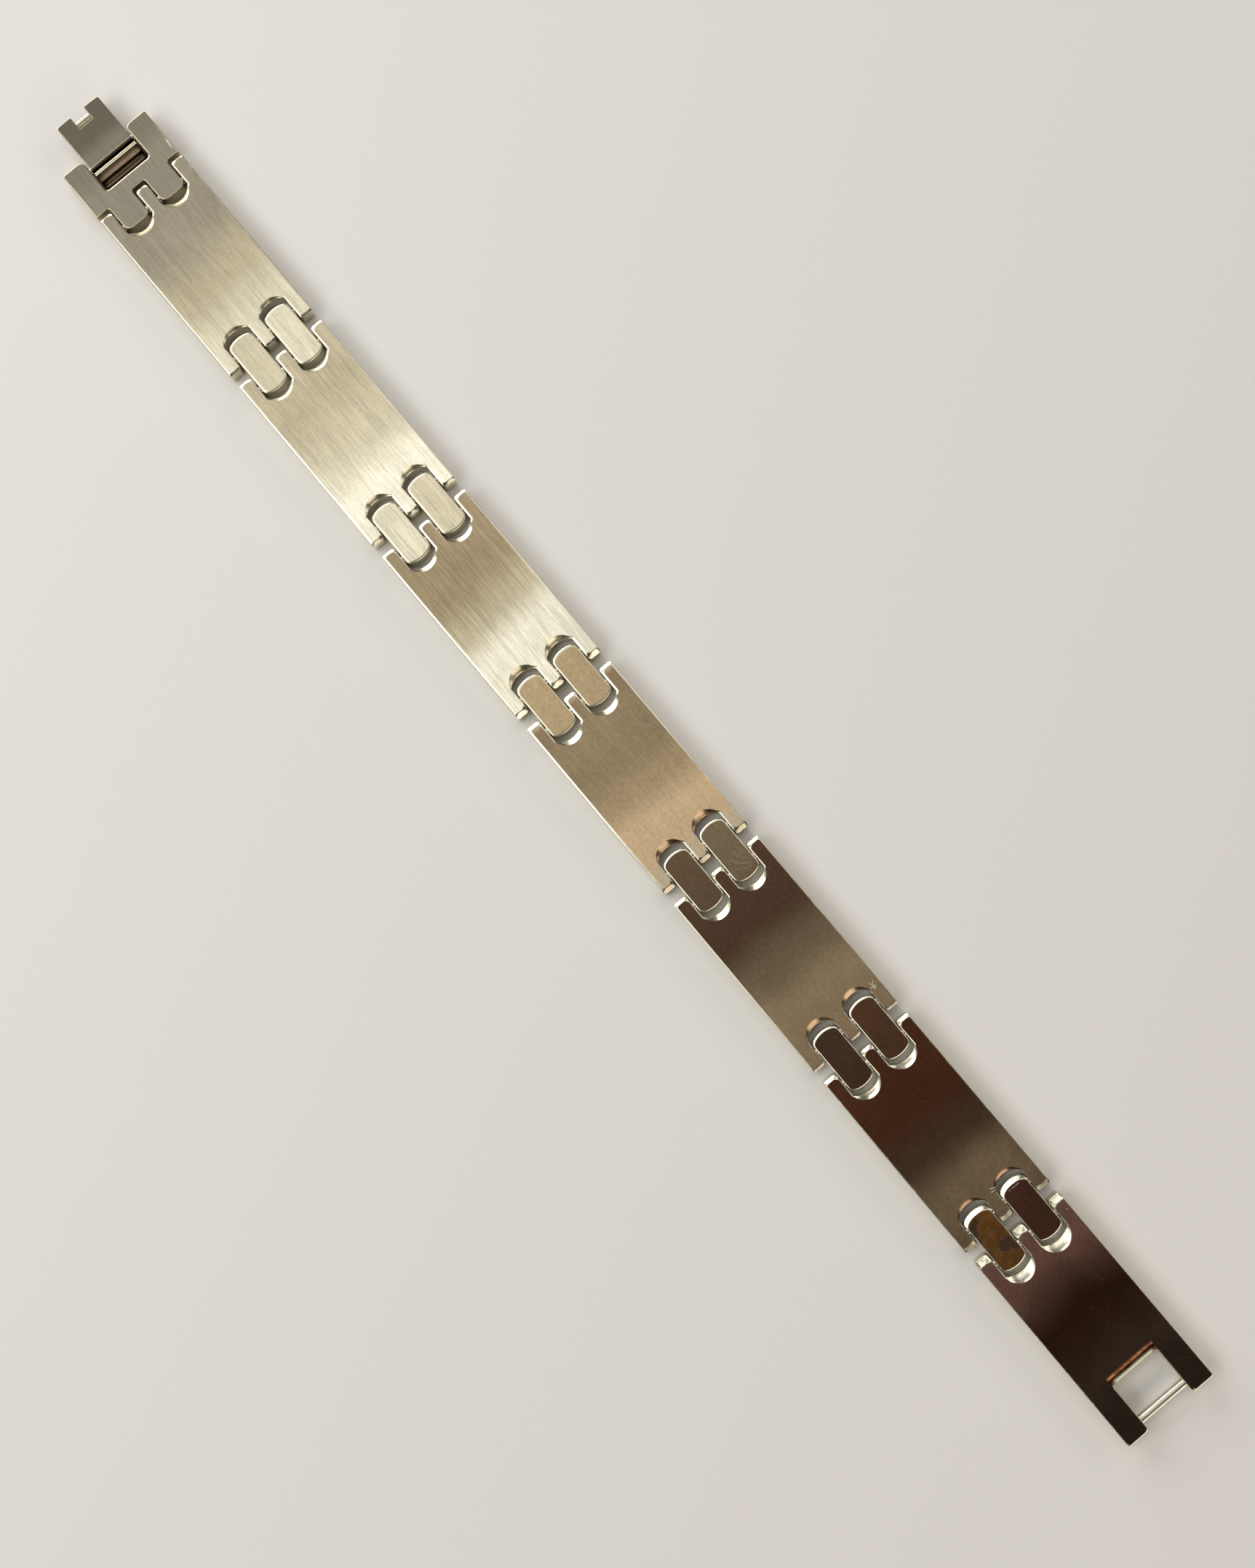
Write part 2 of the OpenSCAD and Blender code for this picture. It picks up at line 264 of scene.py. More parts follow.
# %% [markdown]
# ## Worn edges
#
# Every bevel, facet and scoop is polished, and the polish creeps a little way over the brushed
# face where the bracelet rubs. Each mesh carries a value called polish, 0 on its flat face and 1
# on what was ground or polished. The group roughens the border of that mask with noise.

# %% Group: worn edges
wear, source, result = new_group(
    "worn edges", [("Amount", NUMBER, 0.5)], [("Polished", NUMBER), ("Scuffed", NUMBER)])
polish = add(wear, "ShaderNodeAttribute", attribute_name="polish").outputs["Fac"]
place = add(wear, "ShaderNodeTexCoord").outputs["Object"]
patches = add(wear, "ShaderNodeTexNoise", {"Vector": place, "Scale": 900.0, "Detail": 3.0}).outputs["Fac"]
nibbled = reckon(wear, "MULTIPLY", reckon(wear, "SUBTRACT", patches, 0.5), source.outputs["Amount"])
border = reckon(wear, "ADD", polish, nibbled)
wear.links.new(spread(wear, border, 0.3, 0.6), result.inputs["Polished"])
near_edge = reckon(wear, "MULTIPLY", spread(wear, patches, 0.52, 0.7), polish)
wear.links.new(near_edge, result.inputs["Scuffed"])
print("group:", wear.name)

# %% [markdown]
# ## Scuffs and haze
#
# Worn metal is never even. Fine scratches cross the brushing at odd angles, and a thin haze of
# handling dulls it in clouds a few millimetres wide. A finer mottling, half a millimetre wide,
# keeps the darkest plates from looking painted. The scratches are the thin crests of noise
# pulled out in three directions, kept only where a second, broader noise allows them.

# %% Group: scuffs and haze
scuffs, source, result = new_group(
    "scuffs and haze", [("Scratches", NUMBER, 0.5), ("Haze", NUMBER, 0.5)],
    [("Scratch", NUMBER), ("Haze", NUMBER), ("Mottle", NUMBER)])
place = add(scuffs, "ShaderNodeTexCoord").outputs["Object"]
allowed = add(scuffs, "ShaderNodeTexNoise", {"Vector": place, "Scale": 210.0, "Detail": 2.0}).outputs["Fac"]
allowed = spread(scuffs, allowed, 0.55, 0.7)
crests = None
for turn in (24, -38, 71):
    lines = stretched_noise(scuffs, place, (420, 11000, 900), turn=turn, detail=1, rough=0.3)
    crest = spread(scuffs, lines, 0.74, 0.82)
    crests = crest if crests is None else reckon(scuffs, "MAXIMUM", crests, crest)
scratch = reckon(scuffs, "MULTIPLY", crests, allowed)
scratch = reckon(scuffs, "MULTIPLY", scratch, source.outputs["Scratches"])
scuffs.links.new(scratch, result.inputs["Scratch"])
cloud = add(scuffs, "ShaderNodeTexNoise", {"Vector": place, "Scale": 130.0, "Detail": 5.0,
                                          "Roughness": 0.62}).outputs["Fac"]
scuffs.links.new(reckon(scuffs, "MULTIPLY", spread(scuffs, cloud, 0.35, 0.7), source.outputs["Haze"]),
                 result.inputs["Haze"])
grain = add(scuffs, "ShaderNodeTexNoise", {"Vector": place, "Scale": 2400.0, "Detail": 4.0,
                                          "Roughness": 0.7}).outputs["Fac"]
scuffs.links.new(spread(scuffs, grain, 0.32, 0.68), result.inputs["Mottle"])
print("group:", scuffs.name)

# %% [markdown]
# ## Tints along the band
#
# The metal is pale cream by the clasp and goes through tan to dark bronze by the catch. Part of
# that is the light, and part is the piece's own tint. Each plate's material also blends from one
# tint at its clasp side to another at its catch side, and on the link plates that blend is a
# painted reflection of a slight tilt, darker at the clasp side. The tints have names, like paints.

# %% Tints and the group that runs between two of them
TINTS = {
    "ivory": (0.93, 0.90, 0.73),
    "cream": (0.75, 0.71, 0.545),
    "straw": (0.64, 0.585, 0.43),
    "sand": (0.54, 0.475, 0.335),
    "wheat": (0.36, 0.33, 0.25),
    "fawn": (0.33, 0.255, 0.155),
    "steel": (0.31, 0.29, 0.23),
    "pewter": (0.25, 0.235, 0.18),
    "lead": (0.165, 0.149, 0.115),
    "tan": (0.66, 0.49, 0.30),
    "olive": (0.47, 0.36, 0.215),
    "bronze": (0.24, 0.145, 0.09),
    "russet": (0.26, 0.115, 0.066),
    "rosewood": (0.72, 0.40, 0.32),
    "cocoa": (0.165, 0.095, 0.062),
    "umber": (0.13, 0.066, 0.046),
    "amber": (0.48, 0.227, 0.065),
    "honey": (0.80, 0.60, 0.37),
    "hay": (0.36, 0.285, 0.18),
    "khaki": (0.275, 0.21, 0.128),
    "hazel": (0.192, 0.13, 0.078),
    "plum": (0.255, 0.121, 0.083),
    "clay": (0.228, 0.117, 0.068),
    "soot": (0.099, 0.044, 0.030),
    "bark": (0.18, 0.12, 0.08),
    "moss": (0.085, 0.074, 0.055),
    "loam": (0.145, 0.083, 0.052),
    "rust": (0.225, 0.090, 0.048),
    "blush": (0.42, 0.285, 0.205),
    "copper": (0.24, 0.105, 0.04),
    "dark_copper": (0.10, 0.036, 0.018),
    # The next two paint shade and reflection in the lever's seat
    "seat_shadow": (0.035, 0.022, 0.015),
    "seat_reflection": (0.21, 0.165, 0.13),
}
# Within one plate, the blend from its clasp-side tint to its catch-side tint is a painted reflection of the
# plate's tilt
along, source, result = new_group(
    "tint and painted reflection along the band",
    [("Clasp side", COLOUR, (1, 1, 1, 1)), ("Middle", COLOUR, (1, 1, 1, 1)),
     ("Catch side", COLOUR, (1, 1, 1, 1)), ("From", NUMBER, 0.0), ("To", NUMBER, 1.0)],
    [("Color", COLOUR)])
where = add(along, "ShaderNodeTexCoord").outputs["Object"]
place = add(along, "ShaderNodeSeparateXYZ", {0: where})
drift = add(along, "ShaderNodeTexNoise", {"Vector": where, "Scale": 70.0, "Detail": 2.0}).outputs["Fac"]
span = {"Value": place.outputs[0], "From Min": source.outputs["From"], "From Max": source.outputs["To"]}
way = add(along, "ShaderNodeMapRange", span).outputs[0]
way = reckon(along, "MULTIPLY_ADD", drift, 0.3, plus=reckon(along, "SUBTRACT", way, 0.15))
early = spread(along, way, 0.18, 0.52)
late = spread(along, way, 0.48, 0.82)
shown = blend_colours(along, early, source.outputs["Clasp side"], source.outputs["Middle"])
shown = blend_colours(along, late, shown, source.outputs["Catch side"])
along.links.new(shown, result.inputs["Color"])
print("tints:", ", ".join(TINTS))

# %% [markdown]
# ## Single marks
#
# Noise gives wear everywhere and nowhere in particular. A worn piece also has marks that sit in
# one place: a deep scratch, a nick or a stain. Two groups draw such marks on the face, at a place
# given in the object's own coordinates. One draws a stroke and the other a ragged spot. Both stop
# a little below the face, or else they would run down the walls.

# %% Groups: one stroke and one spot
stroke, source, result = new_group(
    "one stroke",
    [("X", NUMBER, 0.0), ("Y", NUMBER, 0.0), ("Turn", NUMBER, 0.0), ("Length", NUMBER, 0.001),
     ("Width", NUMBER, 0.00005)],
    [("Mask", NUMBER)])
centre = add(stroke, "ShaderNodeCombineXYZ", {0: source.outputs["X"], 1: source.outputs["Y"]})
place = add(stroke, "ShaderNodeTexCoord").outputs["Object"]
away = add(stroke, "ShaderNodeVectorMath", {0: place, 1: centre.outputs[0]}, operation="SUBTRACT").outputs[0]
level = add(stroke, "ShaderNodeVectorRotate", {"Vector": away, "Angle": source.outputs["Turn"]},
            rotation_type="Z_AXIS")
both_ways = add(stroke, "ShaderNodeSeparateXYZ", {0: level.outputs[0]})
ratio = [reckon(stroke, "DIVIDE", reckon(stroke, "ABSOLUTE", both_ways.outputs[k]), source.outputs[size])
         for k, size in ((0, "Length"), (1, "Width"))]
kept = [reckon(stroke, "SUBTRACT", 1.0, spread(stroke, ratio[0], 0.25, 0.5)),
        reckon(stroke, "SUBTRACT", 1.0, spread(stroke, ratio[1], 0.2, 0.6))]
height = add(stroke, "ShaderNodeSeparateXYZ", {0: place}).outputs[2]
on_face = spread(stroke, height, 1.9 * MM, 2.1 * MM)
inside = reckon(stroke, "MULTIPLY", *kept)
stroke.links.new(reckon(stroke, "MULTIPLY", inside, on_face), result.inputs["Mask"])

spot, source, result = new_group(
    "one spot",
    [("X", NUMBER, 0.0), ("Y", NUMBER, 0.0), ("Radius", NUMBER, 0.0005), ("Ragged", NUMBER, 0.5)],
    [("Mask", NUMBER)])
centre = add(spot, "ShaderNodeCombineXYZ", {0: source.outputs["X"], 1: source.outputs["Y"]})
place = add(spot, "ShaderNodeTexCoord").outputs["Object"]
flat_place = add(spot, "ShaderNodeVectorMath", {0: place, 1: (1, 1, 0)}, operation="MULTIPLY").outputs[0]
away = add(spot, "ShaderNodeVectorMath", {0: flat_place, 1: centre.outputs[0]}, operation="DISTANCE")
torn = add(spot, "ShaderNodeTexNoise", {"Vector": place, "Scale": 1400.0, "Detail": 4.0}).outputs["Fac"]
torn = reckon(spot, "MULTIPLY", reckon(spot, "SUBTRACT", torn, 0.5), source.outputs["Ragged"])
near = reckon(spot, "DIVIDE", away.outputs["Value"], source.outputs["Radius"])
near = reckon(spot, "MULTIPLY_ADD", torn, 2.6, plus=near)
height = add(spot, "ShaderNodeSeparateXYZ", {0: place}).outputs[2]
on_face = spread(spot, height, 1.3 * MM, 1.5 * MM)
inside = reckon(spot, "SUBTRACT", 1.0, spread(spot, near, 0.8, 1.05))
spot.links.new(reckon(spot, "MULTIPLY", inside, on_face), result.inputs["Mask"])
print("groups:", stroke.name, "and", spot.name)

# %% [markdown]
# ## Ground hollows
#
# A grinding ball leaves fine rings in the hollow that it cuts. The group measures how far a point
# lies from the middle of one hollow. Mask is 1 inside it, on the side that Side names with 1 or
# -1 for +X or -X. Depth runs from 0 at its rim to 1 by the slot's wall, and Rings are the fine
# marks of grinding.

# %% Group: ground hollow
ground, source, result = new_group(
    "ground hollow",
    [("X", NUMBER, 0.0), ("Y", NUMBER, 0.0), ("Radius", NUMBER, 0.002), ("Side", NUMBER, 1.0)],
    [("Mask", NUMBER), ("Depth", NUMBER), ("Rings", NUMBER)])
centre = add(ground, "ShaderNodeCombineXYZ", {0: source.outputs["X"], 1: source.outputs["Y"]})
place = add(ground, "ShaderNodeTexCoord").outputs["Object"]
flat_place = add(ground, "ShaderNodeVectorMath", {0: place, 1: (1, 1, 0)}, operation="MULTIPLY").outputs[0]
away = add(ground, "ShaderNodeVectorMath", {0: flat_place, 1: centre.outputs[0]}, operation="DISTANCE")
share = reckon(ground, "DIVIDE", away.outputs["Value"], source.outputs["Radius"])
inside = reckon(ground, "SUBTRACT", 1.0, spread(ground, share, 1.06, 1.16))
x = add(ground, "ShaderNodeSeparateXYZ", {0: place}).outputs[0]
beyond = reckon(ground, "SUBTRACT", x, source.outputs["X"])
beyond = reckon(ground, "MULTIPLY", beyond, source.outputs["Side"])
beyond = spread(ground, beyond, 0.3 * MM, 0.6 * MM)
ground.links.new(reckon(ground, "MULTIPLY", inside, beyond), result.inputs["Mask"])
ground.links.new(reckon(ground, "SUBTRACT", 1.0, spread(ground, share, 0.60, 1.0)), result.inputs["Depth"])
outwards = reckon(ground, "MULTIPLY", away.outputs["Value"], 9000.0)
lengthwise = reckon(ground, "MULTIPLY", x, 160.0)
marks = add(ground, "ShaderNodeCombineXYZ", {0: outwards, 1: lengthwise}).outputs[0]
marks = add(ground, "ShaderNodeTexNoise", {"Vector": marks, "Scale": 1.0, "Detail": 2.0}).outputs["Fac"]
ground.links.new(spread(ground, marks, 0.3, 0.7), result.inputs["Rings"])
print("group:", ground.name)

# %% [markdown]
# ## Brushed metal
#
# One function makes the finish of a brushed piece. The flat face takes the brushed lines in
# colour, roughness and bump. What is polished loses them, turns brighter and satin, and keeps only
# scuffs and the rings of its hollows. Its colour carries painted shade and reflection: in the
# hollows, darker at the rims of those at the catch side, and on the finger tips there. The shader
# is fully metallic, so all of its colour is in its reflections. Fades tint the face towards one
# end. Single marks come last: strokes shine, stains darken, and painted shade lines darken the
# border between the face and each tip facet.

# %% Brushed metal
TIP_SOFT = 0.12


def tint(name, dark=1.0):
    """A named tint as a colour with alpha."""
    return tuple(c * dark for c in TINTS[name]) + (1.0,)


def place_group(tree, group, inputs=None):
    """Puts a node group into a material and sets its inputs."""
    node = tree.nodes.new("ShaderNodeGroup")
    node.node_tree = group
    for key, value in (inputs or {}).items():
        node.inputs[key].default_value = value
    return node


def largest(tree, masks):
    """The highest of several masks, or nothing where there are none."""
    highest = None
    for mask in masks:
        highest = mask if highest is None else reckon(tree, "MAXIMUM", highest, mask)
    return highest


def stroke_masks(tree, strokes):
    """Strokes as (x, y, turn in degrees, length, width), in mm."""
    return largest(tree, [
        place_group(tree, stroke, {"X": x * MM, "Y": y * MM, "Turn": math.radians(-turn),
                                   "Length": length * MM, "Width": width * MM}).outputs[0]
        for x, y, turn, length, width in strokes])


def spot_masks(tree, spots, ragged=0.5):
    """Spots as (x, y, radius), in mm."""
    return largest(tree, [
        place_group(tree, spot, {"X": x * MM, "Y": y * MM, "Radius": r * MM, "Ragged": ragged}).outputs[0]
        for x, y, r in spots])


def faded(tree, colour, fades):
    """Tints a colour along X; a fade is (x of full strength, x where it ends, tint, amount), in mm."""
    if not fades:
        return colour
    place = add(tree, "ShaderNodeTexCoord").outputs["Object"]
    x = add(tree, "ShaderNodeSeparateXYZ", {0: place}).outputs[0]
    for full, none, shade, amount in fades:
        rising = none < full
        low, high = min(none, full) * MM, max(none, full) * MM
        near = spread(tree, x, low, high, 0.0 if rising else amount, amount if rising else 0.0)
        colour = blend_colours(tree, near, colour, tint(shade))
    return colour


def ground_shine(tree, polished, hollows, tips):
    """The colour of what is polished, with painted shade. Tips are (x, tint), for all that lies beyond
    that x, in mm: a tint that paints shade on the finger tips.

    A hollow is (x, y, radius, side, tint by the wall, tint at the rim); the two tints paint the
    hollow's shade and reflection, darker at the rim and lighter by the wall.
    """
    shine = tint(polished)
    if tips:
        place = add(tree, "ShaderNodeTexCoord").outputs["Object"]
        along_x = add(tree, "ShaderNodeSeparateXYZ", {0: place}).outputs[0]
        # Painted shade on the finger tips beyond that x
        beyond = spread(tree, along_x, tips[0] * MM, (tips[0] + TIP_SOFT) * MM)
        shine = blend_colours(tree, beyond, shine, tint(tips[1]))
    for x, y, radius, side, by_wall, at_rim in hollows:
        cut = place_group(tree, ground, {"X": x * MM, "Y": y * MM, "Radius": radius * MM, "Side": side})
        # Painted shade in the hollow: its rim's tint runs into its wall's tint
        rung = blend_colours(tree, cut.outputs["Depth"], tint(at_rim), tint(by_wall))
        scale = spread(tree, cut.outputs["Rings"], 0.0, 1.0, 0.92, 1.04)
        rung = add(tree, "ShaderNodeVectorMath", {0: rung, "Scale": scale}, operation="SCALE").outputs[0]
        shine = blend_colours(tree, cut.outputs["Mask"], shine, rung)
    return shine


def brushed_metal(name, tints, start, stop, seed=0.0, rough=0.34, lines=1.0, polished="ivory", satin=0.26,
                  haze=0.5, scratches=0.5, strokes=(), stroke_light=0.8, shade_lines=(), stains=(), fades=(),
                  hollows=(), tips=None, overlay=None, tarnish_and_shade=None):
    """A brushed face with polished edges; three tints run from start to stop, in mm.

    Lines is how strong the brushing is, rough and satin are the roughness of the face and of what
    is polished. Overlay adds to the face's colour, and the last function to the colour of both:
    copper in the end plate's trough, and painted shade in the lever's seat.
    """
    material = bpy.data.materials.new(name)
    material.use_nodes = True
    tree = material.node_tree
    shader = tree.nodes["Principled BSDF"]
    shader.inputs["Metallic"].default_value = 1.0
    brush = place_group(tree, brushing, {"Seed": seed})
    edge = place_group(tree, wear, {"Amount": 0.45})
    mark = place_group(tree, scuffs, {"Scratches": scratches, "Haze": haze})
    base = place_group(tree, along, {"Clasp side": tint(tints[0]), "Middle": tint(tints[1]),
                                     "Catch side": tint(tints[2]), "From": start * MM, "To": stop * MM})
    shade = spread(tree, brush.outputs["Lines"], 0.0, 1.0, 1.0 - 0.15 * lines, 1.0 + 0.10 * lines)
    shade = reckon(tree, "MULTIPLY_ADD", brush.outputs["Cuts"], -0.14 * lines, plus=shade)
    shade = reckon(tree, "MULTIPLY_ADD", mark.outputs["Haze"], -0.14, plus=shade)
    mottling = 0.26 - 0.16 * lines
    shade = reckon(tree, "SUBTRACT", shade, mottling / 2)
    shade = reckon(tree, "MULTIPLY_ADD", mark.outputs["Mottle"], mottling, plus=shade)
    body = faded(tree, base.outputs[0], fades)
    lined = add(tree, "ShaderNodeVectorMath", {0: body, "Scale": shade}, operation="SCALE")
    shown = blend_colours(tree, mark.outputs["Scratch"], lined.outputs[0], tint("straw"))
    if overlay:
        shown = overlay(tree, shown)
    shine = ground_shine(tree, polished, hollows, tips)
    shown = blend_colours(tree, edge.outputs["Polished"], shown, shine)
    if tarnish_and_shade:
        shown = tarnish_and_shade(tree, shown, edge.outputs["Polished"])
    dull = spread(tree, brush.outputs["Lines"], 0, 1, rough + 0.05 * lines, rough - 0.04 * lines)
    dull = reckon(tree, "MULTIPLY_ADD", mark.outputs["Haze"], 0.1, plus=dull)
    bright = reckon(tree, "MULTIPLY_ADD", edge.outputs["Scuffed"], 0.14, plus=satin)
    smooth = add(tree, "ShaderNodeMix", {0: edge.outputs["Polished"], 2: dull, 3: bright},
                 data_type="FLOAT").outputs[0]
    flat = reckon(tree, "SUBTRACT", 1.0, edge.outputs["Polished"])
    depth = reckon(tree, "MULTIPLY", brush.outputs["Height"], flat)
    depth = reckon(tree, "MULTIPLY_ADD", mark.outputs["Scratch"], -0.6, plus=depth)
    if stains:
        stained = spot_masks(tree, stains, 1.0)
        shown = blend_colours(tree, reckon(tree, "MULTIPLY", stained, 0.75), shown, tint("umber"))
        smooth = reckon(tree, "MULTIPLY_ADD", stained, 0.3, plus=smooth)
    # Painted shade lines: the shaded border between the flat face and each tip facet
    if shade_lines:
        shade_mask = stroke_masks(tree, shade_lines)
        shown = blend_colours(tree, reckon(tree, "MULTIPLY", shade_mask, 0.55), shown, tint("umber"))
    if strokes:
        scored = stroke_masks(tree, strokes)
        shown = blend_colours(tree, reckon(tree, "MULTIPLY", scored, stroke_light), shown, tint("ivory"))
        smooth = reckon(tree, "MULTIPLY_ADD", scored, 0.2, plus=smooth)
        depth = reckon(tree, "MULTIPLY_ADD", scored, -1.5 * stroke_light, plus=depth)
    tree.links.new(shown, shader.inputs["Base Color"])
    tree.links.new(smooth, shader.inputs["Roughness"])
    bump = add(tree, "ShaderNodeBump", {"Height": depth, "Strength": 0.5 * lines, "Distance": 0.00003})
    tree.links.new(bump.outputs[0], shader.inputs["Normal"])
    return material


print("finish: brushed metal")

# %% [markdown]
# ## Polished steel
#
# Pins, catch bar and snap pin are drawn wire, polished smooth. Wear leaves faint rings round
# them, where they turn in their bores, and a little haze.

# %% Polished steel
def polished_steel(name, colour, rough=0.16):
    """A bright metal with faint rings round its length and a little haze."""
    material = bpy.data.materials.new(name)
    material.use_nodes = True
    tree = material.node_tree
    shader = tree.nodes["Principled BSDF"]
    shader.inputs["Metallic"].default_value = 1.0
    place = add(tree, "ShaderNodeTexCoord").outputs["Object"]
    rings = stretched_noise(tree, place, (300, 4200, 300), detail=2)
    mark = place_group(tree, scuffs, {"Scratches": 0.4, "Haze": 0.6})
    darker = tuple(c * 0.62 for c in colour)
    worn = blend_colours(tree, spread(tree, rings, 0.3, 0.75, 0.0, 0.35), colour + (1,), darker + (1,))
    hazy = reckon(tree, "MULTIPLY", mark.outputs["Haze"], 0.4)
    tree.links.new(blend_colours(tree, hazy, worn, tint("olive")), shader.inputs["Base Color"])
    dull = reckon(tree, "MULTIPLY_ADD", mark.outputs["Haze"], 0.16, plus=rough)
    tree.links.new(dull, shader.inputs["Roughness"])
    bump = add(tree, "ShaderNodeBump", {"Height": rings, "Strength": 0.15, "Distance": 0.00001})
    tree.links.new(bump.outputs[0], shader.inputs["Normal"])
    return material


pin_steel = polished_steel("pin_steel", (0.80, 0.77, 0.72))
bar_steel = polished_steel("bar_steel", (0.66, 0.65, 0.57), 0.3)
print("finish: polished steel")

# %% [markdown]
# ## Outlines with two levels
#
# A plate is easiest to build as a stack of outlines. The lower outline is where its walls stand,
# and the top outline is where its flat face ends. Between the two, each point has a profile: how
# far it has run towards the top outline, and how far it still lies below the face, at a few
# steps. A round edge, a sloped facet and a hollow scoop are only three different profiles.

# %% Rims and profiles
Rim = namedtuple("Rim", "low top run dip")
STEPS = 8
TURN = np.linspace(0, math.pi / 2, STEPS)
SLOPE_RUN = np.array([0, 0.02, 0.07, 0.30, 0.62, 0.90, 0.97, 1])
SLOPE_DIP = np.array([1, 0.95, 0.91, 0.69, 0.38, 0.10, 0.025, 0])
HOLLOW_RUN = np.array([0, 0.03, 0.09, 0.27, 0.50, 0.74, 0.92, 1])
HOLLOW_LIP = np.array([0.07, 0.02, 0, 0, 0, 0, 0, 0])


def arc(x, y, r, start, stop, steps):
    """Points of an arc; angles in degrees."""
    a = np.radians(np.linspace(start, stop, steps + 1))
    return np.stack([x + r * np.cos(a), y + r * np.sin(a)], 1)


def rounded(size, flat=0.6):
    """An edge rolled over by wear: a quarter of an ellipse, flatter than it is wide."""
    return 1 - np.cos(TURN), flat * size * (1 - np.sin(TURN))


def sloped(drop):
    """A flat facet, softened at both ends, that drops that far."""
    return SLOPE_RUN.copy(), drop * SLOPE_DIP


def hollow(near, far, lift):
    """A hollow ground by a ball or drum whose centre is lift above the face, with a soft lip."""
    way = near + (far - near) * HOLLOW_RUN
    dip = np.sqrt(far ** 2 + lift ** 2 - way ** 2) - lift + HOLLOW_LIP
    return HOLLOW_RUN.copy(), dip


def mixed(a, b, share):
    """A profile between two others."""
    return a[0] + (b[0] - a[0]) * share, a[1] + (b[1] - a[1]) * share


def rim(low, top, profiles):
    """Puts outlines and the profiles of their points together."""
    return Rim(np.array(low, float), np.array(top, float),
               np.array([p[0] for p in profiles]), np.array([p[1] for p in profiles]))


def joined(*rims):
    """One rim from several in a row."""
    return Rim(*[np.concatenate(parts) for parts in zip(*rims)])


def flipped(r, x=1, y=1):
    """A mirrored rim, with its points in the opposite order."""
    return Rim(r.low[::-1] * (x, y), r.top[::-1] * (x, y), r.run[::-1], r.dip[::-1])


def shifted(r, dx, dy=0):
    """A rim moved along the band and across it."""
    return Rim(r.low + (dx, dy), r.top + (dx, dy), r.run, r.dip)


print("profile steps:", STEPS)

# %% [markdown]
# ## From a rim to a solid
#
# The solid is a skin over a stack of rings: a small round under the bottom edge, the wall, the
# profile, and one more ring just inside the flat face. That last ring keeps the face's shading
# flat. Bores are cut by Blender's exact boolean, and edges sharper than 38 degrees stay sharp.

# %% Solid helpers
def inwards(points):
    """Mitred inward directions of a closed outline that runs anticlockwise."""
    ahead = np.roll(points, -1, axis=0) - points
    ahead /= np.linalg.norm(ahead, axis=1)[:, None]
    left = np.stack([-ahead[:, 1], ahead[:, 0]], 1)
    before = np.roll(left, 1, axis=0)
    together = np.clip((left * before).sum(1), -0.7, 1)
    return (left + before) / (1 + together)[:, None]


def ring(points, z):
    """An outline at one height, or at a height for each point."""
    return np.column_stack([points, np.full(len(points), z) if np.isscalar(z) else z])


def skin(rings):
    """Faces between rings of the same length, with a face closing each end."""
    count = len(rings[0])
    faces = []
    for k in range(len(rings) - 1):
        for i in range(count):
            j = (i + 1) % count
            faces.append((k * count + i, k * count + j, (k + 1) * count + j, (k + 1) * count + i))
    faces.append(tuple(range(count))[::-1])
    faces.append(tuple((len(rings) - 1) * count + i for i in range(count)))
    return np.concatenate(rings), faces


def stand_up(r, bottom=0.0, top=THICK, foot=0.12):
    """The rings of a solid whose walls stand on the rim's lower outline."""
    in_low, in_top = inwards(r.low), inwards(r.top)
    rings = [ring(r.low + in_low * (foot + 0.06), bottom)]
    for a in (90, 60, 30, 0):
        s, c = math.sin(math.radians(a)), math.cos(math.radians(a))
        rings.append(ring(r.low + in_low * foot * (1 - c), bottom + foot * (1 - s)))
    rings.append(ring(r.low, top - r.dip[:, 0] - 0.1))
    for k in range(STEPS):
        rings.append(ring(r.low + (r.top - r.low) * r.run[:, k:k + 1], top - r.dip[:, k]))
    rings.append(ring(r.top + in_top * 0.05, top))
    return rings


def make_mesh(name, points, faces):
    """A mesh object from points in millimetres."""
    mesh = bpy.data.meshes.new(name)
    mesh.from_pydata([tuple(p * MM) for p in points], [], faces)
    mesh.validate()
    obj = bpy.data.objects.new(name, mesh)
    bpy.context.scene.collection.objects.link(obj)
    return obj


def combine(obj, tool, operation):
    """Applies one boolean to a mesh and removes the tool."""
    step = obj.modifiers.new("step", "BOOLEAN")
    step.operation = operation
    step.object = tool
    step.solver = "EXACT"
    scene_view = bpy.context.evaluated_depsgraph_get()
    mesh = bpy.data.meshes.new_from_object(obj.evaluated_get(scene_view))
    obj.modifiers.clear()
    old = obj.data
    obj.data = mesh
    mesh.name = obj.name
    bpy.data.meshes.remove(old)
    bpy.data.objects.remove(tool)


def cross_bar(x, z, r, length, steps=40):
    """Points and faces of a plain round bar across the band."""
    a = np.linspace(0, 2 * math.pi, steps, endpoint=False)
    rings = []
    for y in (-length / 2, length / 2):
        rings.append(np.column_stack([x - r * np.cos(a), np.full(steps, y), z + r * np.sin(a)]))
    return skin(rings)


def gathered(parts):
    """Several point and face lists as one."""
    points, faces, count = [], [], 0
    for p, f in parts:
        points.append(p)
        faces += [tuple(i + count for i in face) for face in f]
        count += len(p)
    return np.concatenate(points), faces


def finish_shape(obj, face_z=THICK, sharp=38):
    """Sets smooth shading, sharp edges and the polish value, which is 0 on the flat face."""
    mesh = obj.data
    mesh.shade_smooth()
    mesh.set_sharp_from_angle(angle=math.radians(sharp))
    heights = np.empty(len(mesh.vertices) * 3)
    mesh.vertices.foreach_get("co", heights)
    polish = (heights[2::3] < (face_z - 0.002) * MM).astype(float)
    mesh.attributes.new("polish", "FLOAT", "POINT").data.foreach_set("value", polish)
    return obj


print("solid helpers ready")

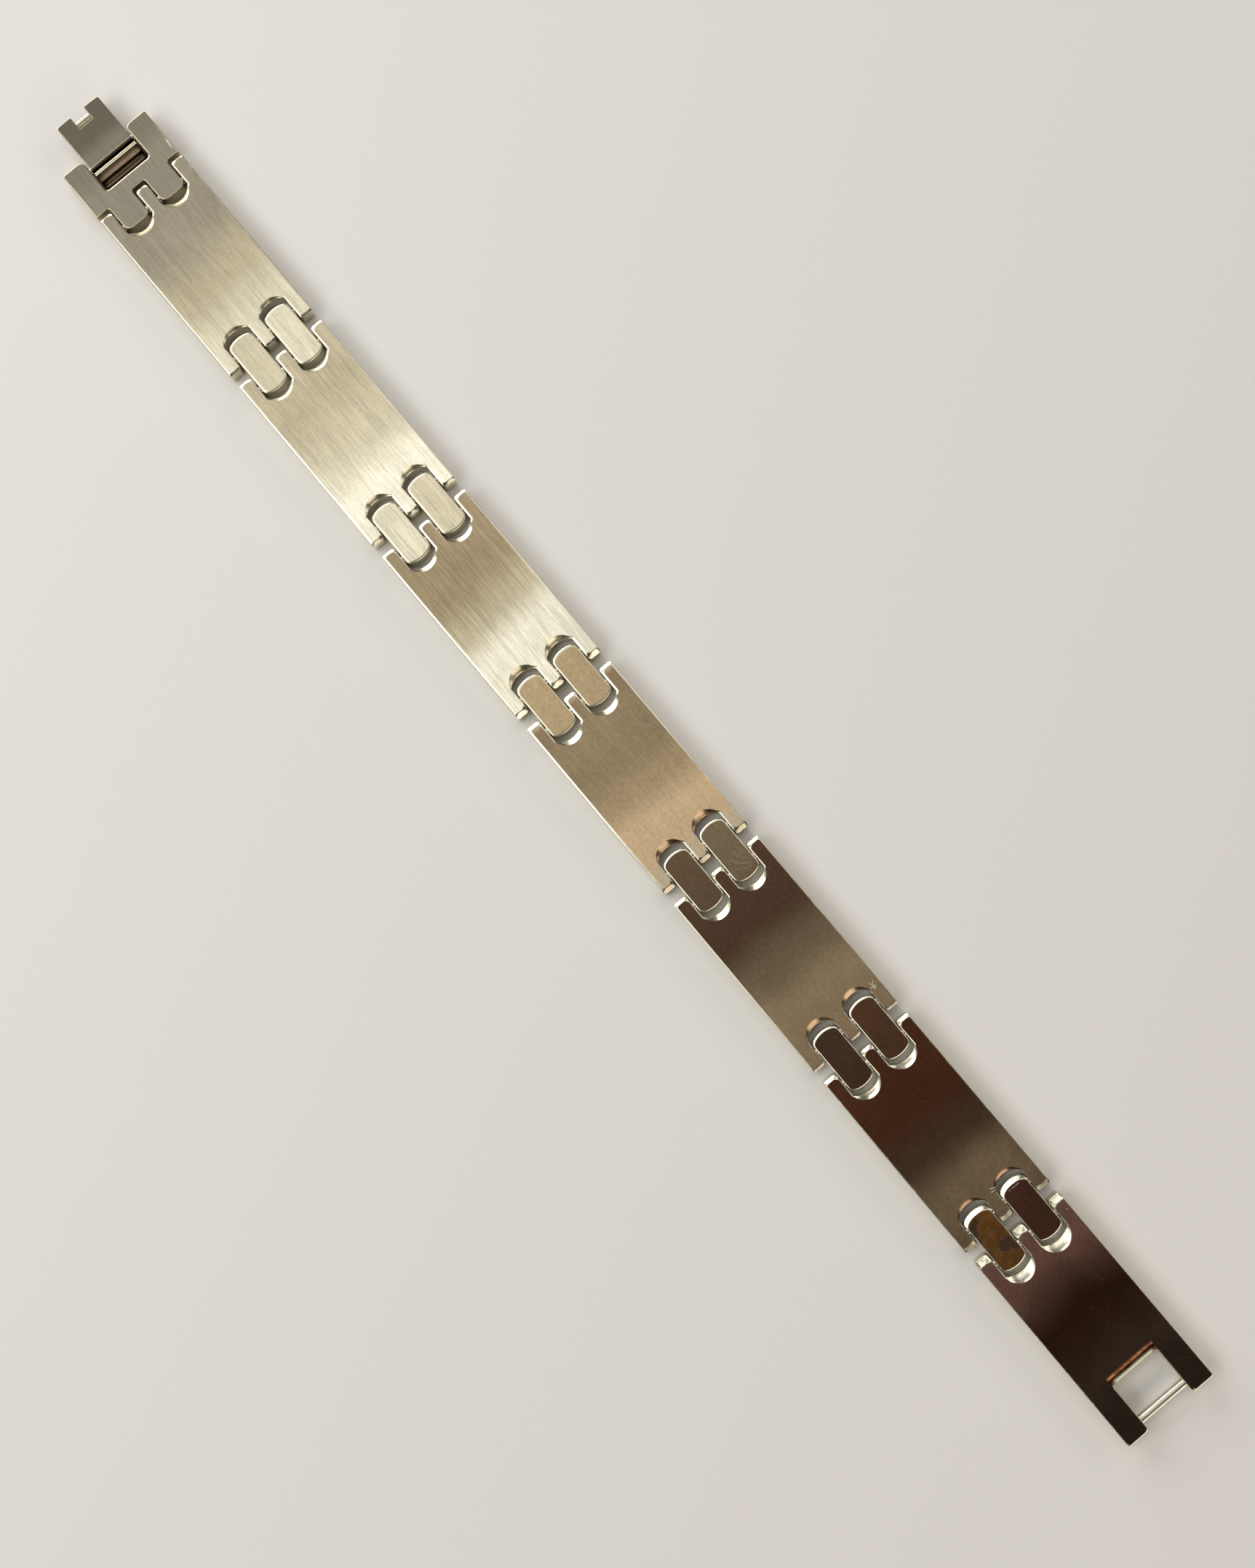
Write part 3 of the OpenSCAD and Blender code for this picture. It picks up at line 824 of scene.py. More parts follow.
# %% [markdown]
# ## Plate ends
#
# A plate ends in three fingers with two slots between them. The finger tips carry a sloped facet,
# wider towards the catch end of the bracelet, and a ball has ground a hollow, or scoop, into the
# face at the end of each slot. The table gives, for each plate, how far the scoops reach from its
# finger tips at the clasp side (in) and at the catch side (out), how wide the tip facets are, and
# how wide its edges that face the front (-Y) are rolled over by wear.

# %% Plate ends
Plate = namedtuple("Plate", "scoop_in scoop_out facet_in facet_out front")
PLATES = [
    Plate(5.05, 4.65, 0.25, 0.25, 0.30),
    Plate(4.85, 4.85, 0.30, 0.40, 0.30),
    Plate(4.95, 5.02, 0.35, 0.60, 0.32),
    Plate(5.00, 5.05, 0.42, 0.60, 0.32),
    Plate(5.00, 4.92, 0.42, 0.30, 0.16),
    Plate(5.05, 4.88, 0.45, 0.60, 0.15),
    Plate(5.40, 0.00, 0.80, 0.00, 0.13),
]
SLOT_STRAIGHT, SLOT_DEPTH = 3.4, 4.2
INNER_R, OUTER_R = 0.45, 0.3
SCOOP_R, BALL_LIFT = SLOT_W / 2 + 0.10, 2.5
RISE = SLOT_DEPTH - SLOT_STRAIGHT
WALL_R = (SLOT_W ** 2 / 4 + RISE ** 2) / (2 * RISE)
WALL_TURN = math.degrees(math.asin(SLOT_W / 2 / WALL_R))
EDGE = 0.15
FACET_ANGLE, BEVEL_ANGLE = 35, 38


def tip_corner(low, top, facet, towards_tip, edge):
    """A rounded finger corner that goes from the narrow edge to the sloped tip facet."""
    drop = facet * math.tan(math.radians(FACET_ANGLE))
    share = np.linspace(0, 1, len(low)) if towards_tip else np.linspace(1, 0, len(low))
    share = np.sin(share * math.pi / 2) ** 1.3
    return rim(low, top, [mixed(rounded(edge), sloped(max(drop, EDGE)), s) for s in share])


def slot_wall(reach, low_edge, high_edge):
    """The slot's curved end wall, with the ball's hollow above it."""
    low = arc(WALL_R - SLOT_DEPTH, -SLOT_Y, WALL_R, 180 + WALL_TURN, 180 - WALL_TURN, 26)
    axis = np.array([SCOOP_R - reach, -SLOT_Y])
    away = low - axis
    near = np.linalg.norm(away, axis=1)
    edges = np.linspace(low_edge, high_edge, len(low))
    far = np.maximum(SCOOP_R, near + edges)
    top = axis + away * (far / near)[:, None]
    profiles = []
    for d, edge in zip(near, edges):
        share = float(np.clip((SCOOP_R - 0.03 - d) / 0.12, 0, 1))
        ball = hollow(min(d, SCOOP_R - 0.01), SCOOP_R, BALL_LIFT)
        profiles.append(mixed(rounded(edge), ball, share))
    return rim(low, top, profiles)


def half_end(facet, reach, outside, inside):
    """Half of a slotted end. Inside is the edge on the outer finger's slot side, outside all others."""
    n = 8
    half_w = BAND_W / 2
    side = -SLOT_Y - SLOT_W / 2
    tip = max(facet, EDGE)
    soft = INNER_R + 0.22 * min(facet / 0.5, 1)
    outer = tip_corner(arc(-OUTER_R, OUTER_R - half_w, OUTER_R, -90, 0, n),
                       arc(-tip - OUTER_R, OUTER_R - half_w + outside, OUTER_R, -90, 0, n),
                       tip, True, outside)
    inner = tip_corner(arc(-INNER_R, side - INNER_R, INNER_R, 0, 90, n),
                       arc(-tip - soft, side - inside - soft, soft, 0, 90, n), tip, False, inside)
    wall = slot_wall(reach, inside, outside)
    half_m = -MIDDLE_FINGER / 2
    soft_m = min(soft, -half_m - outside - 0.02)
    middle = tip_corner(arc(-INNER_R, half_m + INNER_R, INNER_R, -90, 0, n),
                        arc(-tip - soft_m, half_m + outside + soft_m, soft_m, -90, 0, n), tip, True, outside)
    return joined(outer, inner, wall, middle)


def slotted_end(facet, reach, front):
    """The rim of a slotted end with its finger tips at x = 0, from its lower to its upper edge."""
    lower, upper = half_end(facet, reach, front, EDGE), half_end(facet, reach, EDGE, front)
    return joined(lower, flipped(upper, y=-1))


print("points on a plate's outline:", 2 * len(slotted_end(0.5, 5, EDGE).low))

# %% [markdown]
# ## Link plates
#
# Six plates have slots at both ends. Each is one outline, made of a +X end and a mirrored -X end,
# and is bored across for its two pins. Its finish runs between two tints, a blend that paints the
# reflection of the plate's tilt.

# %% Link plates
def start_of(i):
    """Where a plate's finger tips lie at its clasp side; plates are counted from 0."""
    return PRONG_X + PLATE_REACH if i == 0 else PAIR_X[i - 1] + FINGER_GAP / 2


def stop_of(i):
    """Where a plate ends at its catch side."""
    return PAIR_X[-1] + LAST_REACH if i == PAIRS else PAIR_X[i] - FINGER_GAP / 2


def bores(places):
    """Cutters for round holes across the band, as (x, z, radius)."""
    return make_mesh("bores", *gathered([cross_bar(x, z, r, BAND_W + 2) for x, z, r in places]))


# Since and until say where, in shares of the plate's length, the first tint starts to change and
# the last one is reached; that blend along a plate paints the reflection of its tilt. By the wall
# and at the rim are the tints of the catch side's hollows, a painted shade, darker at the rim than
# by the wall. Tips is the tint of the finger tips there, also a painted shade.
PlateTintAndSheen = namedtuple(
    "PlateTintAndSheen", "clasp_side middle catch_side since until rough lines polished by_wall at_rim tips")
# Clasp side, middle and catch side are partly each plate's own tint and partly a painted reflection
PLATE_TINTS_AND_SHEEN = [
    PlateTintAndSheen("wheat", "sand", "cream", 0.10, 1.05, 0.36, 1.0, "cream", "ivory", "straw", "cream"),
    PlateTintAndSheen("sand", "straw", "ivory", 0.15, 0.95, 0.36, 1.0, "ivory", "ivory", "straw", "ivory"),
    PlateTintAndSheen("hay", "sand", "ivory", 0.25, 0.80, 0.34, 1.1, "ivory", "cream", "sand", "cream"),
    PlateTintAndSheen("fawn", "olive", "honey", 0.28, 0.82, 0.32, 0.55, "ivory", "blush", "fawn", "wheat"),
    PlateTintAndSheen("loam", "fawn", "tan", 0.18, 0.84, 0.32, 0.35, "cream", "blush", "fawn", "steel"),
    PlateTintAndSheen("rust", "bronze", "tan", 0.22, 0.88, 0.30, 0.30, "cream", "blush", "bronze", "pewter"),
    PlateTintAndSheen("rosewood", "soot", "bark", -0.085, 0.92, 0.30, 0.25, "cream", "cream", "cream", "cream"),
]
# Strokes by plate, counted from 0: x, y, turn in degrees, length and width, in mm
PLATE_STROKES = {
    4: [(PAIR_X[4] - 4.3, 5.45, 20, 1.3, 0.10), (PAIR_X[4] - 4.1, 5.35, 75, 0.9, 0.09),
        (PAIR_X[4] - 4.4, 5.60, -35, 1.0, 0.08), (PAIR_X[4] - 4.0, 5.55, 130, 0.8, 0.08)],
    5: [(PAIR_X[5] - 4.55, 1.0, 65, 1.5, 0.12), (PAIR_X[5] - 4.30, 0.75, 80, 1.1, 0.10)],
}
# Fades by plate, counted from 0: x of full strength, x where the fade ends, tint and amount
# They are painted reflection: lighter and darker bands across a plate's face
PLATE_SHEEN_FADES = {
    3: [(stop_of(3) - 1.0, stop_of(3) - 4.6, "cream", 0.5),
        (start_of(3) + 1.4, start_of(3) + 5.5, "cocoa", 0.22),
        (start_of(3) + 0.4, start_of(3) + 1.3, "cream", 0.4)],
    5: [(stop_of(5) - 0.8, stop_of(5) - 3.2, "olive", 0.4)],
}
FINGER_Y = (-5.55, 0.0, 5.55)


def hollows_of(i):
    """The ground hollows of a plate, tinted as painted reflection: pale at the clasp side, shaded at the
    catch side.
    """
    sizes, looks = PLATES[i], PLATE_TINTS_AND_SHEEN[i]
    near, far = start_of(i) + sizes.scoop_in - SCOOP_R, stop_of(i) - sizes.scoop_out + SCOOP_R
    cuts = [(near, y, SCOOP_R, 1, "ivory", "ivory") for y in (-SLOT_Y, SLOT_Y)]
    if sizes.scoop_out:
        cuts += [(far, y, SCOOP_R, -1, looks.by_wall, looks.at_rim) for y in (-SLOT_Y, SLOT_Y)]
    return cuts


def tint_reach(i):
    """Where a plate's tints start and end, in mm."""
    length = stop_of(i) - start_of(i)
    return start_of(i) + PLATE_TINTS_AND_SHEEN[i].since * length, start_of(i) + PLATE_TINTS_AND_SHEEN[i].until * length


pieces = []
for i in range(PAIRS):
    sizes, looks = PLATES[i], PLATE_TINTS_AND_SHEEN[i]
    clasp_end = slotted_end(sizes.facet_in, sizes.scoop_in, sizes.front)
    catch_end = slotted_end(sizes.facet_out, sizes.scoop_out, sizes.front)
    outline = joined(shifted(catch_end, stop_of(i)), shifted(flipped(clasp_end, x=-1), start_of(i)))
    plate = make_mesh(f"plate_{i + 1}", *skin(stand_up(outline)))
    first = PRONG_X + LUG_PIN_REACH if i == 0 else PAIR_X[i - 1] + PIN_SPACING / 2
    second = PAIR_X[i] - PIN_SPACING / 2
    combine(plate, bores([(first, MID_Z, BORE_R), (second, MID_Z, BORE_R)]), "DIFFERENCE")
    finish_shape(plate)
    plate.data.materials.append(brushed_metal(
        f"brushed_plate_{i + 1}", looks[:3], *tint_reach(i),
        seed=0.37 * i, rough=looks.rough, lines=looks.lines, polished=looks.polished,
        strokes=PLATE_STROKES.get(i, ()), fades=PLATE_SHEEN_FADES.get(i, ()), hollows=hollows_of(i),
        tips=(stop_of(i) - sizes.facet_out - TIP_SOFT, looks.tips),
        # Painted shade along the border between the face and the catch side's tip facets
        shade_lines=[(stop_of(i) - sizes.facet_out - 0.02, y, 90, 1.6, 0.2) for y in FINGER_Y]))
    pieces.append((plate, "band", [f"link_plate_{i + 1}"], "brushed_plate"))
print("link plates:", [len(p[0].data.polygons) for p in pieces])

# %% [markdown]
# ## End plate
#
# The last plate has slots on one side only. The other side is a window between two rails. A drum
# has ground a trough along the window's far wall, a little past its lowest line, so that the
# strip beside the wall rises again and catches the light. The rails are bored for the catch bar.

# %% End plate
WINDOW_LEN, WINDOW_W = 6.5, 6.8
RAIL_INNER_R, RAIL_EDGE = 0.5, 0.13
TROUGH_PAST, TROUGH_HALF, TROUGH_LIFT = 0.52, 0.68, 0.58
TROUGH = TROUGH_PAST + TROUGH_HALF


def rail_end():
    """The rim of the rails and the window, with the rail ends at x = 0."""
    n = 8
    half_w, half_n = BAND_W / 2, WINDOW_W / 2
    edge = rounded(RAIL_EDGE)
    outer = rim(arc(-OUTER_R, OUTER_R - half_w, OUTER_R, -90, 0, n),
                arc(-OUTER_R - RAIL_EDGE, OUTER_R - half_w + RAIL_EDGE, OUTER_R, -90, 0, n),
                [edge] * (n + 1))
    corner = RAIL_INNER_R + RAIL_EDGE
    inner = rim(arc(-RAIL_INNER_R, -half_n - RAIL_INNER_R, RAIL_INNER_R, 0, 90, n),
                arc(-corner, -half_n - corner, RAIL_INNER_R, 0, 90, n),
                [edge] * (n + 1))
    drum = hollow(-TROUGH_PAST, TROUGH_HALF, TROUGH_LIFT)
    rim_x = -WINDOW_LEN - TROUGH
    far = rim([(-WINDOW_LEN + 0.25, -half_n), (-WINDOW_LEN + 0.08, -half_n), (-WINDOW_LEN, -half_n),
               (-WINDOW_LEN, -half_n + 0.1), (-WINDOW_LEN, -half_n + 0.45)],
              [(-WINDOW_LEN + 0.12, -half_n - 0.13), (-WINDOW_LEN - 0.45, -half_n - 0.15),
               (rim_x + 0.09, -half_n - 0.11), (rim_x + 0.01, -half_n + 0.02), (rim_x, -half_n + 0.40)],
              [edge, mixed(edge, drum, 0.7), drum, drum, drum])
    half = joined(outer, inner, far)
    return joined(half, flipped(half, y=-1))


last = PLATES[-1]
fingers = flipped(slotted_end(last.facet_in, last.scoop_in, last.front), x=-1)
outline = joined(shifted(rail_end(), stop_of(PAIRS)), shifted(fingers, start_of(PAIRS)))
end_plate = make_mesh("end_plate_piece", *skin(stand_up(outline)))
BAR_X = stop_of(PAIRS) - BAR_INSET
last_pin_x = PAIR_X[-1] + PIN_SPACING / 2
combine(end_plate, bores([(last_pin_x, MID_Z, BORE_R), (BAR_X, MID_Z, BAR_BORE_R)]), "DIFFERENCE")
finish_shape(end_plate)
looks = PLATE_TINTS_AND_SHEEN[-1]
end_start, end_stop = start_of(PAIRS), stop_of(PAIRS)
# Specks as x from the finger tips, y and radius: some in each scoop, with y from its middle, and
# some on the tips
SCOOP_SPECKS = [(4.35, -1.45, 0.08), (4.55, -1.30, 0.11), (4.70, -1.05, 0.06), (4.85, -1.20, 0.09),
                (4.45, -1.15, 0.05)]
TIP_SPECKS = [(0.35, -5.6, 0.10), (0.50, -5.3, 0.06), (0.3, -0.2, 0.07), (0.5, 0.2, 0.05), (0.3, 5.1, 0.07)]
END_STAINS = [(end_start + x, y + scoop_y, r) for x, y, r in SCOOP_SPECKS for scoop_y in (-SLOT_Y, SLOT_Y)]
END_STAINS += [(end_start + x, y, r) for x, y, r in TIP_SPECKS]
END_FADES = [(end_start + 2.2, end_start + 6.0, "russet", 0.15),
             (end_start + 0.8, end_start + 1.9, "straw", 0.5),
             (end_stop - 5.5, end_stop - 9.0, "moss", 0.75)]
CORNER_DINGS = [(end_stop - 6.4, -6.45, 0, 0.25, 0.16), (end_stop - 0.35, -6.42, 20, 0.28, 0.18),
                (end_stop - 0.25, 3.75, 60, 0.24, 0.16), (end_start + 2.0, 5.9, 30, 0.3, 0.10)]


def copper_trough(tree, colour, polished):
    """Tarnish in the trough, strongest on the side away from the window and at both ends."""
    wall = end_stop - WINDOW_LEN
    place = add(tree, "ShaderNodeTexCoord").outputs["Object"]
    parts = add(tree, "ShaderNodeSeparateXYZ", {0: place})
    clouds = add(tree, "ShaderNodeTexNoise",
                 {"Vector": place, "Scale": 1100.0, "Detail": 4.0}).outputs["Fac"]
    ragged_x = reckon(tree, "SUBTRACT", parts.outputs[0], 0.25 * MM)
    ragged_x = reckon(tree, "MULTIPLY_ADD", clouds, 0.5 * MM, plus=ragged_x)
    beside = spread(tree, ragged_x, (wall - 0.62) * MM, (wall - 0.30) * MM, 1.0, 0.25)
    y = reckon(tree, "ABSOLUTE", parts.outputs[1])
    at_ends = reckon(tree, "MULTIPLY", spread(tree, y, 2.4 * MM, 3.2 * MM),
                     spread(tree, y, 3.6 * MM, 3.9 * MM, 1.0, 0.0))
    limits = [spread(tree, parts.outputs[0], (wall - TROUGH - 0.4) * MM, (wall - TROUGH - 0.2) * MM),
              spread(tree, parts.outputs[0], (wall + 0.02) * MM, (wall + 0.2) * MM, 1.0, 0.0),
              spread(tree, y, 4.0 * MM, 4.3 * MM, 1.0, 0.0),
              spread(tree, parts.outputs[2], 1.4 * MM, 1.7 * MM)]
    amount = reckon(tree, "MAXIMUM", beside, at_ends)
    for limit in limits:
        amount = reckon(tree, "MULTIPLY", amount, limit)
    copper = blend_colours(tree, spread(tree, clouds, 0.35, 0.62), tint("dark_copper"), tint("copper"))
    return blend_colours(tree, reckon(tree, "MULTIPLY", amount, polished), colour, copper)


end_plate.data.materials.append(brushed_metal(
    "brushed_end_plate", looks[:3], *tint_reach(PAIRS), seed=2.9, rough=looks.rough,
    lines=looks.lines, polished=looks.polished, stains=END_STAINS, strokes=CORNER_DINGS,
    fades=END_FADES, hollows=hollows_of(PAIRS), tarnish_and_shade=copper_trough))
pieces.append((end_plate, "band", ["end_plate"], "brushed_plate"))
print("end plate faces:", len(end_plate.data.polygons))

# %% [markdown]
# ## Connectors
#
# Twelve pill-shaped connectors join the plates in pairs. Their ends are gently curved with rounder
# corners. The bevel is wide at the ends and a thin line along the sides, except that the front
# edges of the pale pairs near the clasp are rolled over as wide as those of their plates. Only
# the widest bevel is a flat facet, and the others are round.

# %% Connectors
SIDE_GAP = 0.15
CONNECTOR_LEN, CONNECTOR_W = 8.15, SLOT_W - 2 * SIDE_GAP
PILL_END_R, PILL_CORNER_R = 3.4, 0.75
WIDEST_ROUND = 0.5


def pill_end(length, width, end_r, corner_r):
    """Half of a pill's outline, from its lower to its upper edge, at its +X end."""
    end_x = length / 2 - end_r
    inner = end_r - corner_r
    corner_y = width / 2 - corner_r
    corner_x = end_x + math.sqrt(inner ** 2 - corner_y ** 2)
    turn = math.degrees(math.asin(corner_y / inner))
    return np.concatenate([
        arc(corner_x, -corner_y, corner_r, -90, -turn, 8)[:-1],
        arc(end_x, 0, end_r, -turn, turn, 16),
        arc(corner_x, corner_y, corner_r, turn, 90, 8)[1:],
    ])


def pill(bevel_in, bevel_out, front):
    """The rim of a connector about its own middle; front is the edge on its -Y side."""
    sides = []
    for bevel in (bevel_out, bevel_in):
        low = pill_end(CONNECTOR_LEN, CONNECTOR_W, PILL_END_R, PILL_CORNER_R)
        top = pill_end(CONNECTOR_LEN - 2 * bevel, CONNECTOR_W - EDGE - front,
                       PILL_END_R - 0.2, PILL_CORNER_R - 0.05)
        lean = np.clip((low[:, 0] - low[0, 0]) / (low[:, 0].max() - low[0, 0]), 0, 1) ** 0.7
        drop = bevel * math.tan(math.radians(BEVEL_ANGLE))
        end = sloped(drop) if bevel > WIDEST_ROUND else rounded(bevel, 0.7)
        edges = np.where(low[:, 1] < 0, front, EDGE)
        sides.append(rim(low, top + (0, (front - EDGE) / 2),
                         [mixed(rounded(edge), end, s) for edge, s in zip(edges, lean)]))
    return joined(sides[0], flipped(sides[1], x=-1))


PillTint = namedtuple("PillTint", "left right rough lines bevel_in bevel_out front")
PILL_TINTS = [
    PillTint("cream", "straw", 0.36, 1.0, 0.32, 0.30, 0.34),
    PillTint("straw", "cream", 0.36, 1.0, 0.32, 0.28, 0.34),
    PillTint("olive", "olive", 0.34, 0.3, 0.42, 0.22, 0.24),
    PillTint("khaki", "hazel", 0.32, 0.25, 0.26, 0.20, 0.15),
    PillTint("clay", "cocoa", 0.32, 0.2, 0.30, 0.18, 0.15),
    PillTint("plum", "russet", 0.30, 0.15, 0.56, 0.16, 0.15),
]
LAST_LEFT = (PAIR_X[5], SLOT_Y)
PILL_FADES = {"4_left": [(PAIR_X[3] + 3.7, PAIR_X[3] + 2.3, "russet", 0.3)]}
# The faint strokes on connector 4 are scattered over its catch side, and those on connector 6
# are dashes
PILL_STROKES = {
    "4_left": [(PAIR_X[3] + dx, SLOT_Y + dy, turn, length, 0.09) for dx, dy, turn, length in (
        (0.55, 0.95, 28, 1.1), (0.95, 0.35, 34, 1.5), (1.20, 1.10, 36, 0.9), (1.35, -0.40, 30, 1.2),
        (1.60, 0.55, 40, 1.6), (1.90, -0.15, 37, 1.3), (2.05, 1.00, 46, 1.2), (2.25, 0.30, 44, 1.0),
        (2.45, -0.60, 34, 0.8), (2.60, 0.80, 50, 1.4), (2.85, 0.05, 47, 0.9), (3.05, 0.65, 56, 1.0))],
    "6_left": [(LAST_LEFT[0] - 3.15, LAST_LEFT[1] + dy, 90, length, 0.12) for dy, length in (
        (0.50, 0.70), (-0.05, 0.60), (-0.62, 0.25))],
}


def amber_film(tree, colour):
    """A dried film over most of a connector, worn off in a patch and along one corner."""
    x, y = PAIR_X[5], -SLOT_Y
    place = add(tree, "ShaderNodeTexCoord").outputs["Object"]
    clouds = add(tree, "ShaderNodeTexNoise", {"Vector": place, "Scale": 700.0, "Detail": 5.0,
                                              "Roughness": 0.65}).outputs["Fac"]
    cracks = add(tree, "ShaderNodeTexNoise", {"Vector": place, "Scale": 900.0, "Detail": 3.0,
                                              "Distortion": 1.5}).outputs["Fac"]
    cracks = reckon(tree, "ABSOLUTE", reckon(tree, "SUBTRACT", cracks, 0.5))
    film = blend_colours(tree, spread(tree, clouds, 0.36, 0.66), tint("amber", 0.8), tint("amber", 1.25))
    film = blend_colours(tree, spread(tree, cracks, 0.0, 0.03, 0.5, 0.0), film, tint("tan", 0.9))
    bare = spot_masks(tree, [
        (x + 1.35, y + 0.35, 0.78), (x + 1.15, y + 0.95, 0.62), (x + 2.1, y + 1.45, 0.7),
        (x - 2.9, y - 0.5, 0.45), (x - 2.6, y - 1.2, 0.6), (x - 1.8, y - 1.7, 0.62),
        (x - 0.9, y - 1.75, 0.42)], 0.35)
    from_border = reckon(tree, "ABSOLUTE", reckon(tree, "MULTIPLY_ADD", bare, 2.0, plus=-1.0))
    rims = reckon(tree, "SUBTRACT", 1.0, from_border)
    film = blend_colours(tree, reckon(tree, "MULTIPLY", rims, 0.7), film, tint("tan"))
    return blend_colours(tree, reckon(tree, "SUBTRACT", 1.0, bare), tint("bronze", 1.1), film)


for i in range(PAIRS):
    looks = PILL_TINTS[i]
    for side, y in (("left", SLOT_Y), ("right", -SLOT_Y)):
        outline = shifted(pill(looks.bevel_in, looks.bevel_out, looks.front), PAIR_X[i], y)
        connector = make_mesh(f"pill_{i + 1}_{side}", *skin(stand_up(outline)))
        combine(connector, bores([(PAIR_X[i] + s * PIN_SPACING / 2, MID_Z, BORE_R) for s in (-1, 1)]),
                "DIFFERENCE")
        finish_shape(connector)
        colour = getattr(looks, side)
        connector.data.materials.append(brushed_metal(
            f"brushed_pill_{i + 1}_{side}", [colour] * 3, PAIR_X[i] - 4, PAIR_X[i] + 4,
            seed=1.3 * i + (0.6 if side == "left" else 0.0), rough=looks.rough, lines=looks.lines,
            polished="cream" if i < 3 else "ivory", satin=0.32 if i < 3 else 0.26,
            strokes=PILL_STROKES.get(f"{i + 1}_{side}", ()), stroke_light=0.13 if i == 3 else 0.7,
            fades=PILL_FADES.get(f"{i + 1}_{side}", ()),
            overlay=amber_film if (i, side) == (PAIRS - 1, "right") else None))
        pieces.append((connector, "band", [f"connector_{i + 1}_{side}"], "brushed_connector"))
print("connectors:", len(pieces) - PAIRS - 1)

# %% [markdown]
# ## Clasp link
#
# The short link at the -X end has a notch between two prongs for the lever, and two lugs that sit
# in the first plate's slots. All of its edges are rubbed round, most of all the notch's end wall.
# A channel is milled under it for the folded lever. Its outline is drawn with the prongs' tips at
# x = 0 and then moved to PRONG_X.

# %% Clasp link
NOTCH_LEN, NOTCH_HALF = 4.95, 3.4
SHOULDER_OUT, SHOULDER_IN, LUG_END = 6.77, 6.8, 10.6
CORNER_R, LUG_CORNER_R = 0.35, 0.85
CHANNEL_START, CHANNEL_STOP, CHANNEL_TOP = 3.9, 8.0, 1.23


def softened(points, sizes):
    """A rim whose top outline lies inside a plain outline by a size for each edge after a point."""
    points = np.array(points, float)
    sizes = np.array(sizes, float)
    ahead = np.roll(points, -1, axis=0) - points
    ahead /= np.linalg.norm(ahead, axis=1)[:, None]
    left = np.stack([-ahead[:, 1], ahead[:, 0]], 1)
    moves = []
    for i in range(len(points)):
        a, b = left[i - 1], left[i]
        if a @ b > 0.98:
            move = (a + b) / (1 + a @ b) * (sizes[i - 1] + sizes[i]) / 2
        else:
            move = np.linalg.solve(np.array([a, b]), np.array([sizes[i - 1], sizes[i]]))
        moves.append(move)
    reach = np.maximum(sizes, np.roll(sizes, 1))
    return rim(points, points + np.array(moves), [rounded(r) for r in reach])


def clasp_half():
    """Lower half of the clasp link's outline, as (points, edge size) parts from the prongs' notch."""
    n = 8
    half_w = BAND_W / 2
    notch_r, tip_r = 0.45, 0.8
    lug_in, lug_out = -1.035, -SLOT_Y - CONNECTOR_W / 2
    lug_x = LUG_END - LUG_CORNER_R
    return [
        (arc(NOTCH_LEN - notch_r, notch_r - NOTCH_HALF, notch_r, 0, -90, n), 0.26),
        (arc(tip_r, -NOTCH_HALF - tip_r, tip_r, 90, 180, n), 0.16),
        (arc(CORNER_R, CORNER_R - half_w, CORNER_R, 180, 270, n), 0.16),
        (np.array([(SHOULDER_OUT, -half_w)]), 0.13),
        (arc(SHOULDER_OUT + CORNER_R, lug_out - CORNER_R, CORNER_R, 180, 90, n), 0.13),
        (arc(lug_x, lug_out + LUG_CORNER_R, LUG_CORNER_R, -90, 0, n), 0.15),
        (arc(lug_x, lug_in - LUG_CORNER_R, LUG_CORNER_R, 0, 90, n), 0.15),
        (arc(SHOULDER_IN + CORNER_R, lug_in + CORNER_R, CORNER_R, -90, -180, n), 0.13),
    ]


parts = clasp_half()
half_points = np.concatenate([p for p, _ in parts])
half_sizes = np.concatenate([np.full(len(p), s) for p, s in parts])
points = np.concatenate([half_points, half_points[::-1] * (1, -1)])
sizes = np.concatenate([half_sizes, np.roll(half_sizes[::-1], -1)])
sizes[-1] = 0.26
clasp = make_mesh("clasp_link_piece", *skin(stand_up(shifted(softened(points, sizes), PRONG_X))))
corners = np.array([(CHANNEL_START, -NOTCH_HALF), (CHANNEL_STOP, -NOTCH_HALF),
                    (CHANNEL_STOP, NOTCH_HALF), (CHANNEL_START, NOTCH_HALF)]) + (PRONG_X, 0)
channel = skin([ring(corners, z) for z in (-1.0, CHANNEL_TOP)])
combine(clasp, make_mesh("channel", *channel), "DIFFERENCE")
pin_places = [(PRONG_X + reach, MID_Z, BORE_R) for reach in (LUG_PIN_REACH, HINGE_REACH)]
combine(clasp, bores(pin_places), "DIFFERENCE")
finish_shape(clasp)
clasp.data.materials.append(brushed_metal(
    "brushed_clasp", ["pewter", "steel", "steel"], PRONG_X, PRONG_X + 10, seed=4.1, rough=0.38, lines=1.1,
    polished="sand", stroke_light=0.45,
    strokes=[(PRONG_X + 5.3, 6.2, -3, 1.6, 0.22), (PRONG_X + 4.9, 6.28, 4, 0.8, 0.16)]))
pieces.append((clasp, "band", ["clasp_link"], "clasp_steel"))
print("clasp link faces:", len(clasp.data.polygons))

# %% [markdown]
# ## Clasp lever
#
# The lever is a flat tongue with a notched tip. At its base, under a groove, it carries a ridge,
# a round seat that grips the catch bar, and the hinge barrel. The tongue is a rim like the
# plates, and the hook is a side profile pulled across the band; a boolean joins the two. All
# places on the lever are measured along the band from the tips of the clasp link's prongs.

